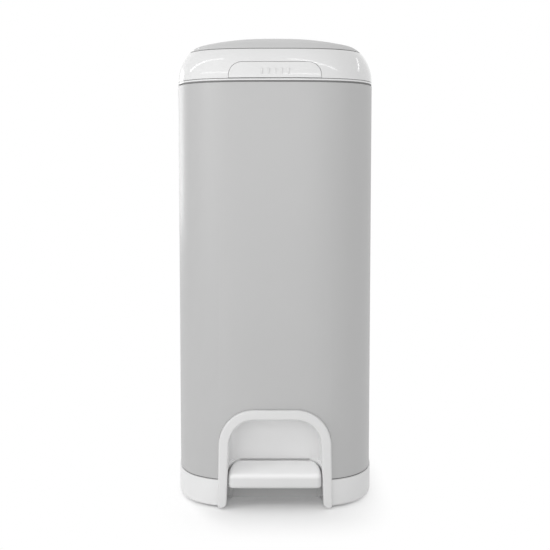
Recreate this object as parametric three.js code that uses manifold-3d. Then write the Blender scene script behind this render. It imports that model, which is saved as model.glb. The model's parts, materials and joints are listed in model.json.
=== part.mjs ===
// A free-standing nappy bin that is opened with the foot.
// Units are millimetres, +Z is up, the front faces -Y, and the origin is on the floor
// under the middle of the body.
import * as THREE from 'three'
import { mergeVertices } from 'three/addons/utils/BufferGeometryUtils.js'
import Module from 'manifold-3d'

const wasm = await Module()
wasm.setup()

// Whole bin
const bodyWidth = 280
const bodyDepth = 300
const squareness = 3.07
const outlineSteps = 44
const roundSteps = 28
const smallSteps = 10
const fitGap = 0.3
const overrun = 5

// Base skirt, base plate and feet
const footHeight = 4.7
const footRadius = 12
const rimHeight = 3
const skirtHeight = 37
const skirtSeam = 1
const skirtStep = 1.2
const skirtWall = 3
const skirtRound = 5
const upstandHeight = 12
const upstandWall = 2.6
const basePlateThickness = 3
const bossRadius = 6.5
const bossHeight = 26
const bossShare = 0.765
const footShare = 0.6

// Steel body and the collar in its top rim
const steelWall = 1
const shellHeight = 548.1
const bandHeight = 4.2
const neckHeight = 2.4
const neckInset = 0.6
const housingSeam = 0.9
const collarDrop = 26
const collarWall = 3
const strikeWidth = 26
const strikeHeight = 4
const strikeReach = 4.2

// Floor tray inside the body
const trayRise = 31
const floorWall = 2.5

// Arch around the pedal and the niche behind it
const archHalfWidth = 78
const archTop = 141.1
const archCorner = 50
const archBand = 13.7
const archSplay = 2
const archProud = 5
const archDepth = 17
const archEdge = 2.5
const archBow = 900
const nicheDepth = 61
const nicheSplay = 3.2
const nicheCorner = 12
const nicheWall = 2.6
const pocketDepth = 4
const pocketFoot = 1
const ledgeHeight = 54

// Pedal and its lever
const pedalHalfWidth = 65.1
const pedalInset = 2.5
const pedalGap = 1
const pedalCorner = 19
const pedalFrontCorner = 8
const pedalUnderside = 30.7
const pedalFrontHeight = 18.8
const pedalSlope = 8.5
const pedalEdge = 5
const pedalWall = 3
const pivotY = -10
const pivotZ = 32
const pedalTurn = 10.5
const axleRadius = 4
const bracketGauge = 6
const bracketInside = 17
const hubRadius = 9
const hubHalfWidth = 14
const leverHalfWidth = 11
const leverGauge = 10
const leverNose = 6
const padPlateHalfWidth = 48
const padPlateGauge = 3.5
const padPlateInset = 7

// Push rod behind the pail
const rodRadius = 4
const rodFootRadius = 9
const rodFootHeight = 9
const rodHeadRadius = 5
const rodHeadHeight = 12
const rodSocket = 6
const channelHalfWidth = 17
const channelWall = 2
const channelReach = 13.5
const channelTopDrop = 24
const guideHeight = 14
const lowerGuideRise = 120
const upperGuideDrop = 60

// White top housing
const shoulderLift = 1.2
const shoulderWidth = 30
const shoulderHeight = 40
const crownHeight = 24
const ringWidth = 16
const housingWall = 3
const seatDepth = 14
const seatWidth = 10
const seatDrop = 9.4
const seatWall = 3

// Hinge between the body and the top housing
const housingAxisOut = 4.5
const housingAxisDrop = 2
const housingBarrel = 4
const housingPin = 1.7
const housingKnuckle = 12
const collarKnuckle = 24
const housingWebHeight = 9

// Hinge between the top housing and the lid
const lidAxisIn = 14.8
const lidAxisRise = 0.5
const lidBarrel = 4
const lidPin = 1.7
const lidKnuckle = 21.5
const ringKnuckle = 30
const lidTurn = 80
const fingerHalfWidth = 5
const noseRadius = 4
const liftGap = 0.6
const hingeBlockReach = 26
const notchFloorDrop = 9

// Deck inside the top housing, with the well for the refill
const deckThickness = 3
const deckInset = 5.6
const cassetteRadius = 79
const cassetteBand = 19
const cassetteHeight = 38
const cassetteWall = 2
const cassetteLip = 4
const filmGap = 3
const wellPlay = 0.5
const wellWall = 2.5
const wellFloor = 3
const wellDepth = 40
const wellFlange = 7
const wellFlangeGauge = 2
const wellLedge = 2
const sealInset = 1
const sealHeight = 2

// Lifter between the push rod and the lid
const lifterDepth = 7
const lifterCapHalfWidth = 11
const lifterCapHeight = 4
const lifterSlotPlay = 0.6
const guideRib = 2.5
const guideRibDrop = 12

// Sprung clamp under the refill
const clampInset = 5
const clampHeight = 20
const clampWall = 3
const jawCover = 3
const jawGauge = 2.4
const jawAxisIn = 11
const jawAxisDrop = 9
const jawBarrel = 3
const jawPin = 1.2
const jawHalfLength = 22
const jawLug = 5
const jawSlit = 0.8
const springWire = 0.8
const springPlay = 0.8
const springTurns = 4
const springPitch = 2.2

// Film cutter under the deck
const cutterWidth = 10
const cutterLength = 44
const cutterHeight = 13
const cutterNotch = 3.2
const bladeGauge = 0.6

// Front release tab
const tabHalfWidth = 63.3
const tabHeight = 22.2
const tabCorner = 18.5
const tabGroove = 0.5
const tabAxisIn = 10.8
const tabTurn = 5
const tabAxisDrop = 6.2
const tabPin = 1.2
const tabEye = 2.8
const tabEyeX = 24
const tabEyeWidth = 6
const hookHalfWidth = 11
const hookGauge = 3
const hookDrop = 17
const hookTooth = 3
const ribCount = 5
const ribPitch = 9
const ribLength = 8
const ribWidth = 2
const ribRise = 0.5
const tabSpringRadius = 3.2
const tabSpringWire = 0.7
const tabSpringTurns = 4
const tabSpringPitch = 2.2
const springPostHalfWidth = 6
const springPostGauge = 3

// Lid
const lidSeam = 1.2
const lidLip = 1.6
const lidUndercut = 1.2
const lidWall = 2.5
const lidRim = 9.6
const linerGauge = 2
const linerPlay = 0.4
const plugInset = 1
const plugWall = 2.5
const filterRadius = 38
const filterWall = 2
const filterHeight = 8
const filterSlots = 5
const filterSlotWidth = 4

// Screws
const screwSteps = 8
const screwHead = 3.6
const screwHeadHeight = 1.8
const screwShank = 1.6
const baseScrewLength = 16
const pedalScrewLength = 5
const pedalScrewX = 34
const deckScrewShare = 0.69
const deckScrewLength = 9

// Values worked out from the sizes above
const halfWidth = bodyWidth / 2
const depthRatio = bodyDepth / bodyWidth
const archFront = bodyDepth / 2 + archProud
const nicheBack = archFront - nicheDepth
const pedalFront = archFront - pedalInset
const pedalBack = nicheBack + pedalGap
const lidAxisY = bodyDepth / 2 - lidAxisIn
const cassetteBore = cassetteRadius - cassetteBand
const wellInner = cassetteRadius + wellPlay
const wellOuter = wellInner + wellWall
const wellMouth = cassetteBore - wellLedge
const clampOuter = wellOuter - clampInset
const jawAxisX = clampOuter - jawAxisIn
const jawReach = wellMouth + jawCover
const plugRadius = wellOuter + wellFlange - plugInset
const cutterX = (wellOuter + halfWidth - deckInset) / 2
const skirtTop = rimHeight + skirtHeight
const shellBottom = skirtTop + skirtSeam + fitGap
const shellTop = shellBottom + shellHeight
const bandBottom = shellTop + fitGap
const bandTop = bandBottom + bandHeight
const ringBottom = bandTop + housingSeam
const shoulderStart = ringBottom + shoulderLift
const shoulderEnd = Math.PI / 2
const seatRadius = halfWidth - ringWidth
const ringTop = skin(ringWidth)
const seatFloor = ringTop - seatDepth
const deckTop = seatFloor - seatDrop - fitGap
const deckBottom = deckTop - deckThickness
const lidAxisZ = ringTop + lidAxisRise
const plateBottom = footHeight + fitGap
const plateTop = plateBottom + basePlateThickness
const upstandTop = skirtTop + upstandHeight
const floorTop = skirtTop + trayRise + floorWall
const tabAxisY = tabAxisIn - halfWidth * depthRatio
const tabTop = ringBottom + tabHeight
const tabAxisZ = tabTop - tabAxisDrop
const tabFoot = tabAxisIn * Math.sin(THREE.MathUtils.degToRad(tabTurn)) + fitGap
const tabFootZ = ringBottom + tabFoot
const strikeFront = fitGap * 2 - wallAt(0, halfWidth - steelWall - fitGap - collarWall)
const hookFront = strikeFront + strikeReach + fitGap
const tabSpringHalf = (tabSpringTurns * tabSpringPitch) / 2 + tabSpringWire
const tabSpringY = hookFront + hookGauge + fitGap + tabSpringHalf
const tabSpringZ = tabFootZ + hookDrop / 4
const halfPedalTurn = THREE.MathUtils.degToRad(pedalTurn / 2)
const halfLidTurn = THREE.MathUtils.degToRad(lidTurn / 2)
const housingAxisY = halfWidth * depthRatio + housingAxisOut
const housingAxisZ = bandTop - housingAxisDrop
const innerHalf = archHalfWidth - archBand
const innerTop = archTop - archBand
const innerCorner = archCorner - archBand

// The lever, the push rod and the lid's crank move by one travel. The crank's radius follows
// from the lever's rear arm, and the rod stands under the middle of the crank's swing.
const rodY = lidAxisY - noseRadius * 4
const rearArm = rodY - pivotY
const liftTravel = 2 * rearArm * Math.sin(halfPedalTurn)
const crankRadius = liftTravel / (2 * Math.sin(halfLidTurn))
const noseY = lidAxisY - crankRadius * Math.cos(halfLidTurn)
const noseZ = lidAxisZ - crankRadius * Math.sin(halfLidTurn)
const lifterTop = noseZ - noseRadius - liftGap
const rodHeadTop = bandTop - housingAxisDrop - fitGap
const lifterBottom = rodHeadTop + fitGap
const leverTipZ = pivotZ - rearArm * Math.sin(halfPedalTurn)
const rodFootBottom = leverTipZ + leverNose + fitGap

// Rounded-square outline and the shoulder line of the top

function skinPoint(turn, depth) {
  const inset = depth + (shoulderWidth - depth) * (1 - Math.cos(turn))
  const rise = (shoulderHeight - depth) * Math.sin(turn)
  return [halfWidth - inset, shoulderStart + rise + crown(inset)]
}

function crown(inset) {
  const inward = 1 - inset / halfWidth
  return crownHeight * (1 - inward * inward)
}

function skin(inset) {
  return skinPoint(Math.acos(1 - inset / shoulderWidth), 0)[1]
}

function skinTurn(inset) {
  return Math.acos(1 - inset / shoulderWidth)
}

function squash(share) {
  return Math.sign(share) * Math.abs(share) ** (2 / squareness)
}

// How far in front of the middle a rounded-square wall stands at a distance to the side
function wallAt(sideways, half = halfWidth) {
  return half * depthRatio * (1 - Math.abs(sideways / half) ** squareness) ** (1 / squareness)
}

// Solids

function solid(geometry) {
  const bare = new THREE.BufferGeometry()
  bare.setAttribute('position', geometry.getAttribute('position'))
  bare.setIndex(geometry.index)
  const merged = mergeVertices(bare)
  const position = merged.getAttribute('position')
  const index = merged.index.array
  const corners = []
  let volume = 0
  const a = new THREE.Vector3()
  const b = new THREE.Vector3()
  const c = new THREE.Vector3()
  for (let i = 0; i < index.length; i += 3) {
    const [p, q, r] = [index[i], index[i + 1], index[i + 2]]
    if (p === q || q === r || r === p) continue
    corners.push(p, q, r)
    a.fromBufferAttribute(position, p)
    b.fromBufferAttribute(position, q)
    c.fromBufferAttribute(position, r)
    volume += a.dot(b.cross(c))
  }
  if (volume < 0) corners.reverse()
  const mesh = new wasm.Mesh({
    numProp: 3,
    vertProperties: new Float32Array(position.array),
    triVerts: new Uint32Array(corners)
  })
  return new wasm.Manifold(mesh)
}

// Joins any number of solids into one
function join(first, ...others) {
  return others.reduce((sum, other) => sum.add(other), first)
}

// Takes any number of solids away from the first
function cut(first, ...others) {
  return others.reduce((rest, other) => rest.subtract(other), first)
}

// A lathe turned round the body's rounded-square outline. Points are [half width, height].
// A profile that doesn't reach the middle closes on itself.
function squared(profile, steps = outlineSteps) {
  const geometry = lathe(profile, steps)
  const position = geometry.getAttribute('position')
  for (let i = 0; i < position.count; i++) {
    const x = position.getX(i)
    const y = position.getY(i)
    const reach = Math.hypot(x, y)
    if (reach === 0) continue
    position.setX(i, reach * squash(x / reach))
    position.setY(i, reach * squash(y / reach) * depthRatio)
  }
  return solid(geometry)
}

function lathe(profile, steps) {
  const points = profile.map(([radius, height]) => new THREE.Vector2(radius, height))
  if (profile[0][0] > 0) points.push(points[0].clone())
  return new THREE.LatheGeometry(points, steps).rotateX(Math.PI / 2)
}

function turned(profile, steps = roundSteps) {
  return solid(lathe(profile, steps))
}

// A ring with a plain rectangular section
function ring(outer, inner, bottom, top, steps = roundSteps) {
  return turned([[inner, bottom], [outer, bottom], [outer, top], [inner, top]], steps)
}

function disc(radius, bottom, top, steps = roundSteps) {
  return turned([[0, bottom], [radius, bottom], [radius, top], [0, top]], steps)
}

// A box between two corners
function block([x0, y0, z0], [x1, y1, z1]) {
  const geometry = new THREE.BoxGeometry(x1 - x0, y1 - y0, z1 - z0)
  geometry.translate((x0 + x1) / 2, (y0 + y1) / 2, (z0 + z1) / 2)
  return solid(geometry)
}

// A round bar along X or Y, from one end to the other
function barX(radius, from, to, y, z, steps = smallSteps) {
  const geometry = new THREE.CylinderGeometry(radius, radius, to - from, steps)
  geometry.rotateZ(Math.PI / 2)
  geometry.translate((from + to) / 2, y, z)
  return solid(geometry)
}

function barY(radius, from, to, x, z, steps = smallSteps) {
  const geometry = new THREE.CylinderGeometry(radius, radius, to - from, steps)
  geometry.translate(x, (from + to) / 2, z)
  return solid(geometry)
}

function barZ(radius, from, to, x, y, steps = smallSteps) {
  const geometry = new THREE.CylinderGeometry(radius, radius, to - from, steps)
  geometry.rotateX(Math.PI / 2)
  geometry.translate(x, y, (from + to) / 2)
  return solid(geometry)
}

// Upright outline in X and Z, pushed through from the front to the back
function throughY(shape, front, back, bevel = {}) {
  const options = { depth: back - front, bevelEnabled: false, curveSegments: 8, ...bevel }
  const geometry = new THREE.ExtrudeGeometry(shape, options)
  geometry.rotateX(Math.PI / 2)
  geometry.translate(0, back, 0)
  return geometry
}

// Side outline in Y and Z, pushed through from left to right
function throughX(shape, left, right) {
  const options = { depth: right - left, bevelEnabled: false, curveSegments: 8 }
  const geometry = new THREE.ExtrudeGeometry(shape, options)
  const turn = new THREE.Matrix4().makeBasis(
    new THREE.Vector3(0, 1, 0),
    new THREE.Vector3(0, 0, 1),
    new THREE.Vector3(1, 0, 0)
  )
  geometry.applyMatrix4(turn)
  geometry.translate(left, 0, 0)
  return solid(geometry)
}

// An upside-down U: a flat top, round upper corners, and sides that may spread by a splay
// on their way down to the floor
function archShape(half, top, corner, foot, splay = 0) {
  const spread = splay * (1 - foot / (top - corner))
  const shape = new THREE.Shape()
  shape.moveTo(-half - spread, foot)
  shape.lineTo(half + spread, foot)
  shape.lineTo(half, top - corner)
  shape.absarc(half - corner, top - corner, corner, 0, Math.PI / 2)
  shape.lineTo(0, top)
  shape.lineTo(corner - half, top)
  shape.absarc(corner - half, top - corner, corner, Math.PI / 2, Math.PI)
  shape.closePath()
  return shape
}

// A rectangle in plan with round corners, by its front and back
function plateShape(half, front, back, frontCorner, backCorner) {
  const shape = new THREE.Shape()
  shape.moveTo(half, front + frontCorner)
  shape.absarc(half - backCorner, back - backCorner, backCorner, 0, Math.PI / 2)
  shape.absarc(backCorner - half, back - backCorner, backCorner, Math.PI / 2, Math.PI)
  shape.absarc(frontCorner - half, front + frontCorner, frontCorner, Math.PI, Math.PI * 1.5)
  shape.absarc(half - frontCorner, front + frontCorner, frontCorner, Math.PI * 1.5, Math.PI * 2)
  return shape
}

function throughZ(shape, bottom, top, bevel = {}) {
  const options = { depth: top - bottom, bevelEnabled: false, curveSegments: 6, ...bevel }
  const geometry = new THREE.ExtrudeGeometry(shape, options)
  geometry.translate(0, 0, bottom)
  return geometry
}

// The scene: one group for the fixed bin and one for each piece that moves

const bin = new THREE.Group()
const pedalGroup = new THREE.Group()
const rodGroup = new THREE.Group()
const housingGroup = new THREE.Group()
const lifterGroup = new THREE.Group()
const latchGroup = new THREE.Group()
const leftJawGroup = new THREE.Group()
const rightJawGroup = new THREE.Group()
const lidGroup = new THREE.Group()
bin.add(pedalGroup, rodGroup, housingGroup)
housingGroup.add(lifterGroup, latchGroup, leftJawGroup, rightJawGroup, lidGroup)

function finish(color, roughness, metalness = 0) {
  return new THREE.MeshStandardMaterial({ color, roughness, metalness })
}

const steelGrey = () => finish('#bfbfbf', 0.42, 0.5)
const glossWhite = () => finish('#e6e6e6', 0.22)
const satinWhite = () => finish('#dedede', 0.4)
const domeGrey = () => finish('#cbcbcb', 0.38)
const brightSteel = () => finish('#b4b6b8', 0.3, 0.9)
const softGrey = () => finish('#6d6f72', 0.8)
const blackRubber = () => finish('#2c2d2f', 0.85)
const carbonBlack = () => finish('#26272a', 0.95)
const filmBlue = () => finish('#a9c4d6', 0.5)

function place(group, name, shape, material, x = 0, y = 0, z = 0) {
  const mesh = new THREE.Mesh(toGeometry(shape), material)
  mesh.name = name
  mesh.position.set(x, y, z)
  group.add(mesh)
}

function toGeometry(shape) {
  const mesh = shape.getMesh()
  const geometry = new THREE.BufferGeometry()
  geometry.setAttribute('position', new THREE.BufferAttribute(mesh.vertProperties, 3))
  geometry.setIndex(new THREE.BufferAttribute(mesh.triVerts, 1))
  return geometry
}

// Four places at the corners of the body, at a share of its half width and half depth
function fourCorners(share) {
  const x = halfWidth * share
  const y = halfWidth * depthRatio * share
  return [[-x, -y], [x, -y], [x, y], [-x, y]]
}

// The outline of the arch, grown or shrunk by an amount, as a solid from front to back
function archSolid(grow, front, back, foot = 0) {
  const half = archHalfWidth + grow
  const shape = archShape(half, archTop + grow, archCorner + grow, foot, archSplay)
  return solid(throughY(shape, front, back))
}

function nicheSolid(grow, front, back) {
  const half = innerHalf + grow
  const upright = archShape(half, innerTop + grow, innerCorner + grow, 0, nicheSplay)
  const plan = plateShape(half + nicheSplay, front, back + grow, nicheWall, nicheCorner + grow)
  const tall = solid(throughY(upright, front, back + grow))
  return tall.intersect(solid(throughZ(plan, -overrun, archTop + overrun)))
}

// Fixed pieces: body, base and collar

function makeShell() {
  const outer = halfWidth
  const inner = halfWidth - steelWall
  const tube = squared([
    [inner, shellBottom],
    [outer, shellBottom],
    [outer, shellTop],
    [inner, shellTop]
  ])
  place(bin, 'body_shell', cut(tube, archSolid(fitGap, -bodyDepth, 0)), steelGrey())
}

function makeCollar() {
  const plug = halfWidth - steelWall - fitGap
  const inside = plug - collarWall
  const band = squared([
    [inside, bandBottom - collarDrop],
    [plug, bandBottom - collarDrop],
    [plug, bandBottom],
    [halfWidth - neckInset, bandBottom],
    [halfWidth - neckInset, bandBottom + neckHeight],
    [halfWidth, bandBottom + neckHeight],
    [halfWidth, bandTop],
    [inside, bandTop]
  ])
  const wall = wallAt(0) - collarWall
  let collar = band
  for (const side of [-1, 1]) {
    const near = side * (housingKnuckle + fitGap)
    const far = side * collarKnuckle
    const [left, right] = [Math.min(near, far), Math.max(near, far)]
    const barrel = barX(housingBarrel, left, right, housingAxisY, housingAxisZ)
    const web = block([left, wall, bandBottom], [right, housingAxisY, bandTop])
    collar = join(collar, barrel, web)
  }
  const bore = barX(housingPin + fitGap, -collarKnuckle * 2, collarKnuckle * 2, housingAxisY, housingAxisZ)
  place(bin, 'body_collar', cut(collar, bore), glossWhite())
  const strike = block(
    [-strikeWidth / 2, strikeFront, bandTop - strikeHeight * 3],
    [strikeWidth / 2, strikeFront + strikeReach, bandTop - strikeHeight * 2]
  )
  place(bin, 'latch_strike', strike, brightSteel())
}

function makeSkirt() {
  const outer = halfWidth + skirtStep
  const inner = outer - skirtWall
  const upstand = halfWidth - steelWall - fitGap
  const profile = [[inner, rimHeight]]
  for (let i = 0; i <= 2; i++) {
    const turn = (i / 2) * (Math.PI / 2)
    const inset = skirtRound * (1 - Math.sin(turn)) * skirtStep / skirtWall
    profile.push([outer - inset, rimHeight + skirtRound * (1 - Math.cos(turn))])
  }
  profile.push(
    [outer, skirtTop],
    [halfWidth - neckInset, skirtTop],
    [halfWidth - neckInset, skirtTop + skirtSeam],
    [upstand, skirtTop + skirtSeam],
    [upstand, upstandTop],
    [upstand - upstandWall, upstandTop],
    [upstand - upstandWall, skirtTop - upstandWall],
    [inner, skirtTop - upstandWall * 2]
  )
  let skirt = squared(profile)
  for (const [x, y] of fourCorners(bossShare)) {
    skirt = join(skirt, barZ(bossRadius, plateTop + fitGap, plateTop + bossHeight, x, y))
  }
  for (const [x, y] of fourCorners(bossShare)) {
    skirt = cut(skirt, barZ(screwShank + fitGap, rimHeight, plateTop + baseScrewLength, x, y))
  }
  skirt = cut(skirt, archSolid(fitGap, -bodyDepth, 0, -overrun))
  place(bin, 'base_skirt', skirt, satinWhite())
}

function makeBasePlate() {
  const edge = halfWidth + skirtStep - skirtWall - fitGap
  let plate = squared([[0, plateBottom], [edge, plateBottom], [edge, plateTop], [0, plateTop]])
  const mouthHalf = archHalfWidth + archSplay + fitGap
  const mouth = block(
    [-mouthHalf, -bodyDepth, -overrun],
    [mouthHalf, -nicheBack + pocketDepth + nicheWall + fitGap, plateTop + overrun]
  )
  plate = cut(plate, mouth)
  for (const side of [-1, 1]) {
    const inside = side * bracketInside
    const outside = side * (bracketInside + bracketGauge)
    const [left, right] = [Math.min(inside, outside), Math.max(inside, outside)]
    const post = block(
      [left, pivotY - hubRadius, plateTop - basePlateThickness / 2],
      [right, pivotY + hubRadius, pivotZ]
    )
    plate = join(plate, post, barX(hubRadius, left, right, pivotY, pivotZ))
  }
  const axleBore = barX(axleRadius + fitGap, -bracketInside * 3, bracketInside * 3, pivotY, pivotZ)
  plate = cut(plate, axleBore)
  for (const [x, y] of fourCorners(bossShare)) {
    plate = cut(plate, barZ(screwShank + fitGap, 0, plateTop + overrun, x, y))
  }
  place(bin, 'base_plate', plate, satinWhite())
  const axleEnd = bracketInside + bracketGauge + fitGap * 5
  place(bin, 'pedal_axle', barX(axleRadius, -axleEnd, axleEnd, pivotY, pivotZ), brightSteel())
  fourCorners(footShare).forEach(([side, y], i) => {
    const skirtInside = wallAt(y / depthRatio, halfWidth + skirtStep - skirtWall) / depthRatio
    const x = Math.sign(side) * (archHalfWidth + archSplay + skirtInside) / 2
    const foot = turned([
      [0, 0],
      [footRadius - rimHeight / 2, 0],
      [footRadius, rimHeight / 2],
      [footRadius, footHeight],
      [0, footHeight]
    ], smallSteps)
    place(bin, `rubber_foot_${i + 1}`, foot, blackRubber(), x, y)
  })
  fourCorners(bossShare).forEach(([x, y], i) => {
    const screw = makeScrew(baseScrewLength)
    place(bin, `base_screw_${i + 1}`, screw, brightSteel(), x, y, plateBottom - fitGap)
  })
}

// A pan-head screw that points up, with the seat under its head at the origin
function makeScrew(length) {
  return turned([
    [0, -screwHeadHeight],
    [screwHead * 0.8, -screwHeadHeight],
    [screwHead, -screwHeadHeight / 2],
    [screwHead, 0],
    [screwShank, 0],
    [screwShank, length],
    [0, length]
  ], screwSteps)
}

function makeSurround() {
  const frameShape = archShape(archHalfWidth, archTop, archCorner, rimHeight, archSplay)
  const bevel = {
    bevelEnabled: true,
    bevelSize: archEdge,
    bevelOffset: -archEdge,
    bevelThickness: archEdge,
    bevelSegments: 2,
    depth: archDepth - archEdge * 2
  }
  const frame = throughY(frameShape, -archFront + archEdge, -archFront + archDepth - archEdge, bevel)
  bow(frame)
  const opening = nicheSolid(0, -archFront - overrun, -nicheBack)
  const shell = nicheSolid(nicheWall, -archFront + archDepth / 2, -nicheBack)
  const keepAboveFloor = block(
    [-bodyWidth, -bodyDepth, -overrun],
    [bodyWidth, bodyDepth, rimHeight]
  )
  const half = innerHalf - nicheWall
  const top = ledgeHeight - nicheWall
  const pocketBack = -nicheBack + pocketDepth
  const pocketShell = block(
    [-half - nicheWall, -nicheBack - nicheCorner, pocketFoot],
    [half + nicheWall, pocketBack + nicheWall, top + nicheWall]
  )
  const pocket = block([-half, -nicheBack - nicheCorner, -overrun], [half, pocketBack, top])
  const armDrop = (nicheBack + pivotY) * Math.sin(THREE.MathUtils.degToRad(pedalTurn))
  const slotHalf = leverHalfWidth + fitGap * 3
  const slotBottom = platePadZ() - leverGauge / 2 - armDrop - fitGap * 3
  const slotTop = platePadZ() + padPlateGauge + fitGap * 3
  const armSlot = block(
    [-slotHalf, pocketBack - overrun, slotBottom],
    [slotHalf, pocketBack + nicheWall + overrun, slotTop]
  )
  const hollow = cut(join(cut(join(solid(frame), shell), keepAboveFloor), pocketShell), opening)
  const surround = cut(join(hollow, makeLedges()), pocket, armSlot)
  place(bin, 'pedal_surround', surround, satinWhite())
}

// Two ledges that fill the niche's rear corners beside the pedal's round ones
function makeLedges() {
  const level = block(
    [-bodyWidth, -nicheBack - pedalCorner, ledgeHeight - nicheWall],
    [bodyWidth, -nicheBack + nicheWall / 2, ledgeHeight]
  )
  const around = plateShape(
    pedalHalfWidth + pedalGap,
    -pedalFront - overrun,
    -nicheBack,
    pedalFrontCorner,
    pedalCorner + pedalGap
  )
  const room = solid(throughZ(around, -overrun, archTop))
  return cut(nicheSolid(nicheWall / 2, -archFront, -nicheBack).intersect(level), room)
}

// Bends a front face gently, so that it stands furthest forward in the middle
function bow(geometry) {
  const position = geometry.getAttribute('position')
  for (let i = 0; i < position.count; i++) {
    const x = position.getX(i)
    position.setY(i, position.getY(i) + (x * x) / (2 * archBow))
  }
}

function makeFloorTray() {
  const edge = halfWidth - steelWall - fitGap * 2
  const bottom = upstandTop + fitGap
  const tray = squared([
    [0, floorTop - floorWall],
    [edge - floorWall, floorTop - floorWall],
    [edge - floorWall, bottom],
    [edge, bottom],
    [edge, floorTop],
    [0, floorTop]
  ])
  const niche = nicheSolid(nicheWall + fitGap, -bodyDepth, -nicheBack)
  const rodHole = barZ(rodFootRadius + fitGap, skirtTop, floorTop + overrun, 0, rodY)
  const bowDepth = (archHalfWidth * archHalfWidth) / (2 * archBow)
  const arch = archSolid(fitGap, -bodyDepth, -archFront + archDepth + bowDepth + fitGap)
  place(bin, 'floor_tray', cut(tray, niche, rodHole, arch), satinWhite())
}

function makeRodChannel() {
  const front = rodY - channelReach
  const back = wallAt(channelHalfWidth, halfWidth - steelWall) - fitGap * 3
  const bottom = floorTop + fitGap
  const top = bandBottom - channelTopDrop
  const collarInside = wallAt(channelHalfWidth, halfWidth - steelWall - collarWall - fitGap * 2)
  const channel = cut(
    block([-channelHalfWidth, front, bottom], [channelHalfWidth, back, top]),
    block(
      [channelWall - channelHalfWidth, front + channelWall, bottom - overrun],
      [channelHalfWidth - channelWall, back + overrun, top + overrun]
    ),
    block(
      [-bodyWidth, collarInside - fitGap, bandBottom - collarDrop - fitGap],
      [bodyWidth, bodyDepth, top + overrun]
    )
  )
  place(bin, 'rod_channel', channel, satinWhite())
  const levels = [
    ['rod_guide_lower', bottom + lowerGuideRise],
    ['rod_guide_upper', top - upperGuideDrop]
  ]
  for (const [name, level] of levels) {
    const inside = channelHalfWidth - channelWall - fitGap
    const guide = cut(
      block([-inside, front + channelWall + fitGap, level], [inside, back, level + guideHeight]),
      barZ(rodRadius + fitGap, level - overrun, level + guideHeight + overrun, 0, rodY)
    )
    place(bin, name, guide, satinWhite())
  }
}

function makeHousingPin() {
  const pin = barX(housingPin, -collarKnuckle, collarKnuckle, housingAxisY, housingAxisZ)
  place(bin, 'housing_hinge_pin', pin, brightSteel())
}

// Pedal, lever and push rod

function makePedal() {
  const bevel = {
    bevelEnabled: true,
    bevelSize: pedalEdge,
    bevelOffset: -pedalEdge,
    bevelThickness: pedalEdge,
    bevelSegments: 2
  }
  const top = pedalUnderside + pedalFrontHeight
  const plan = plateShape(pedalHalfWidth, -pedalFront, -pedalBack, pedalFrontCorner, pedalCorner)
  const outside = throughZ(plan, pedalUnderside + pedalEdge, top - pedalEdge, bevel)
  const insidePlan = plateShape(
    pedalHalfWidth - pedalWall,
    -pedalFront + pedalWall,
    -pedalBack - pedalWall,
    pedalFrontCorner - pedalWall,
    pedalCorner - pedalWall
  )
  const inside = throughZ(insidePlan, pedalUnderside - overrun, top - pedalWall)
  lean(outside, top - pedalEdge * 2)
  lean(inside, top - pedalWall * 2)
  const pad = cut(solid(outside), solid(inside))
  const screwZ = platePadZ() + padPlateGauge
  const holes = [-1, 1].map((side) =>
    barZ(screwShank + fitGap, screwZ, screwZ + pedalScrewLength + fitGap * 2,
      side * pedalScrewX, -(pedalFront + pedalBack) / 2))
  const posts = [-1, 1].map((side) =>
    barZ(screwHead + fitGap, screwZ + fitGap, top + (pedalSlope - pedalWall) / 2,
      side * pedalScrewX, -(pedalFront + pedalBack) / 2))
  const armPass = block(
    [-leverHalfWidth - fitGap, -pedalBack - pedalWall * 2, pedalUnderside - overrun],
    [leverHalfWidth + fitGap, -pedalBack + overrun, screwZ + fitGap]
  )
  place(pedalGroup, 'pedal_pad', cut(join(pad, ...posts), armPass, ...holes), satinWhite())
}

// Raises the upper part of the pedal towards its back edge
function lean(geometry, from) {
  const position = geometry.getAttribute('position')
  for (let i = 0; i < position.count; i++) {
    if (position.getZ(i) < from) continue
    const back = (position.getY(i) + pedalFront) / (pedalFront - pedalBack)
    position.setZ(i, position.getZ(i) + pedalSlope * back)
  }
}

// Underside of the lever's plate inside the pedal
function platePadZ() {
  return pedalUnderside + pedalFrontHeight / 2 - padPlateGauge
}

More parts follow.
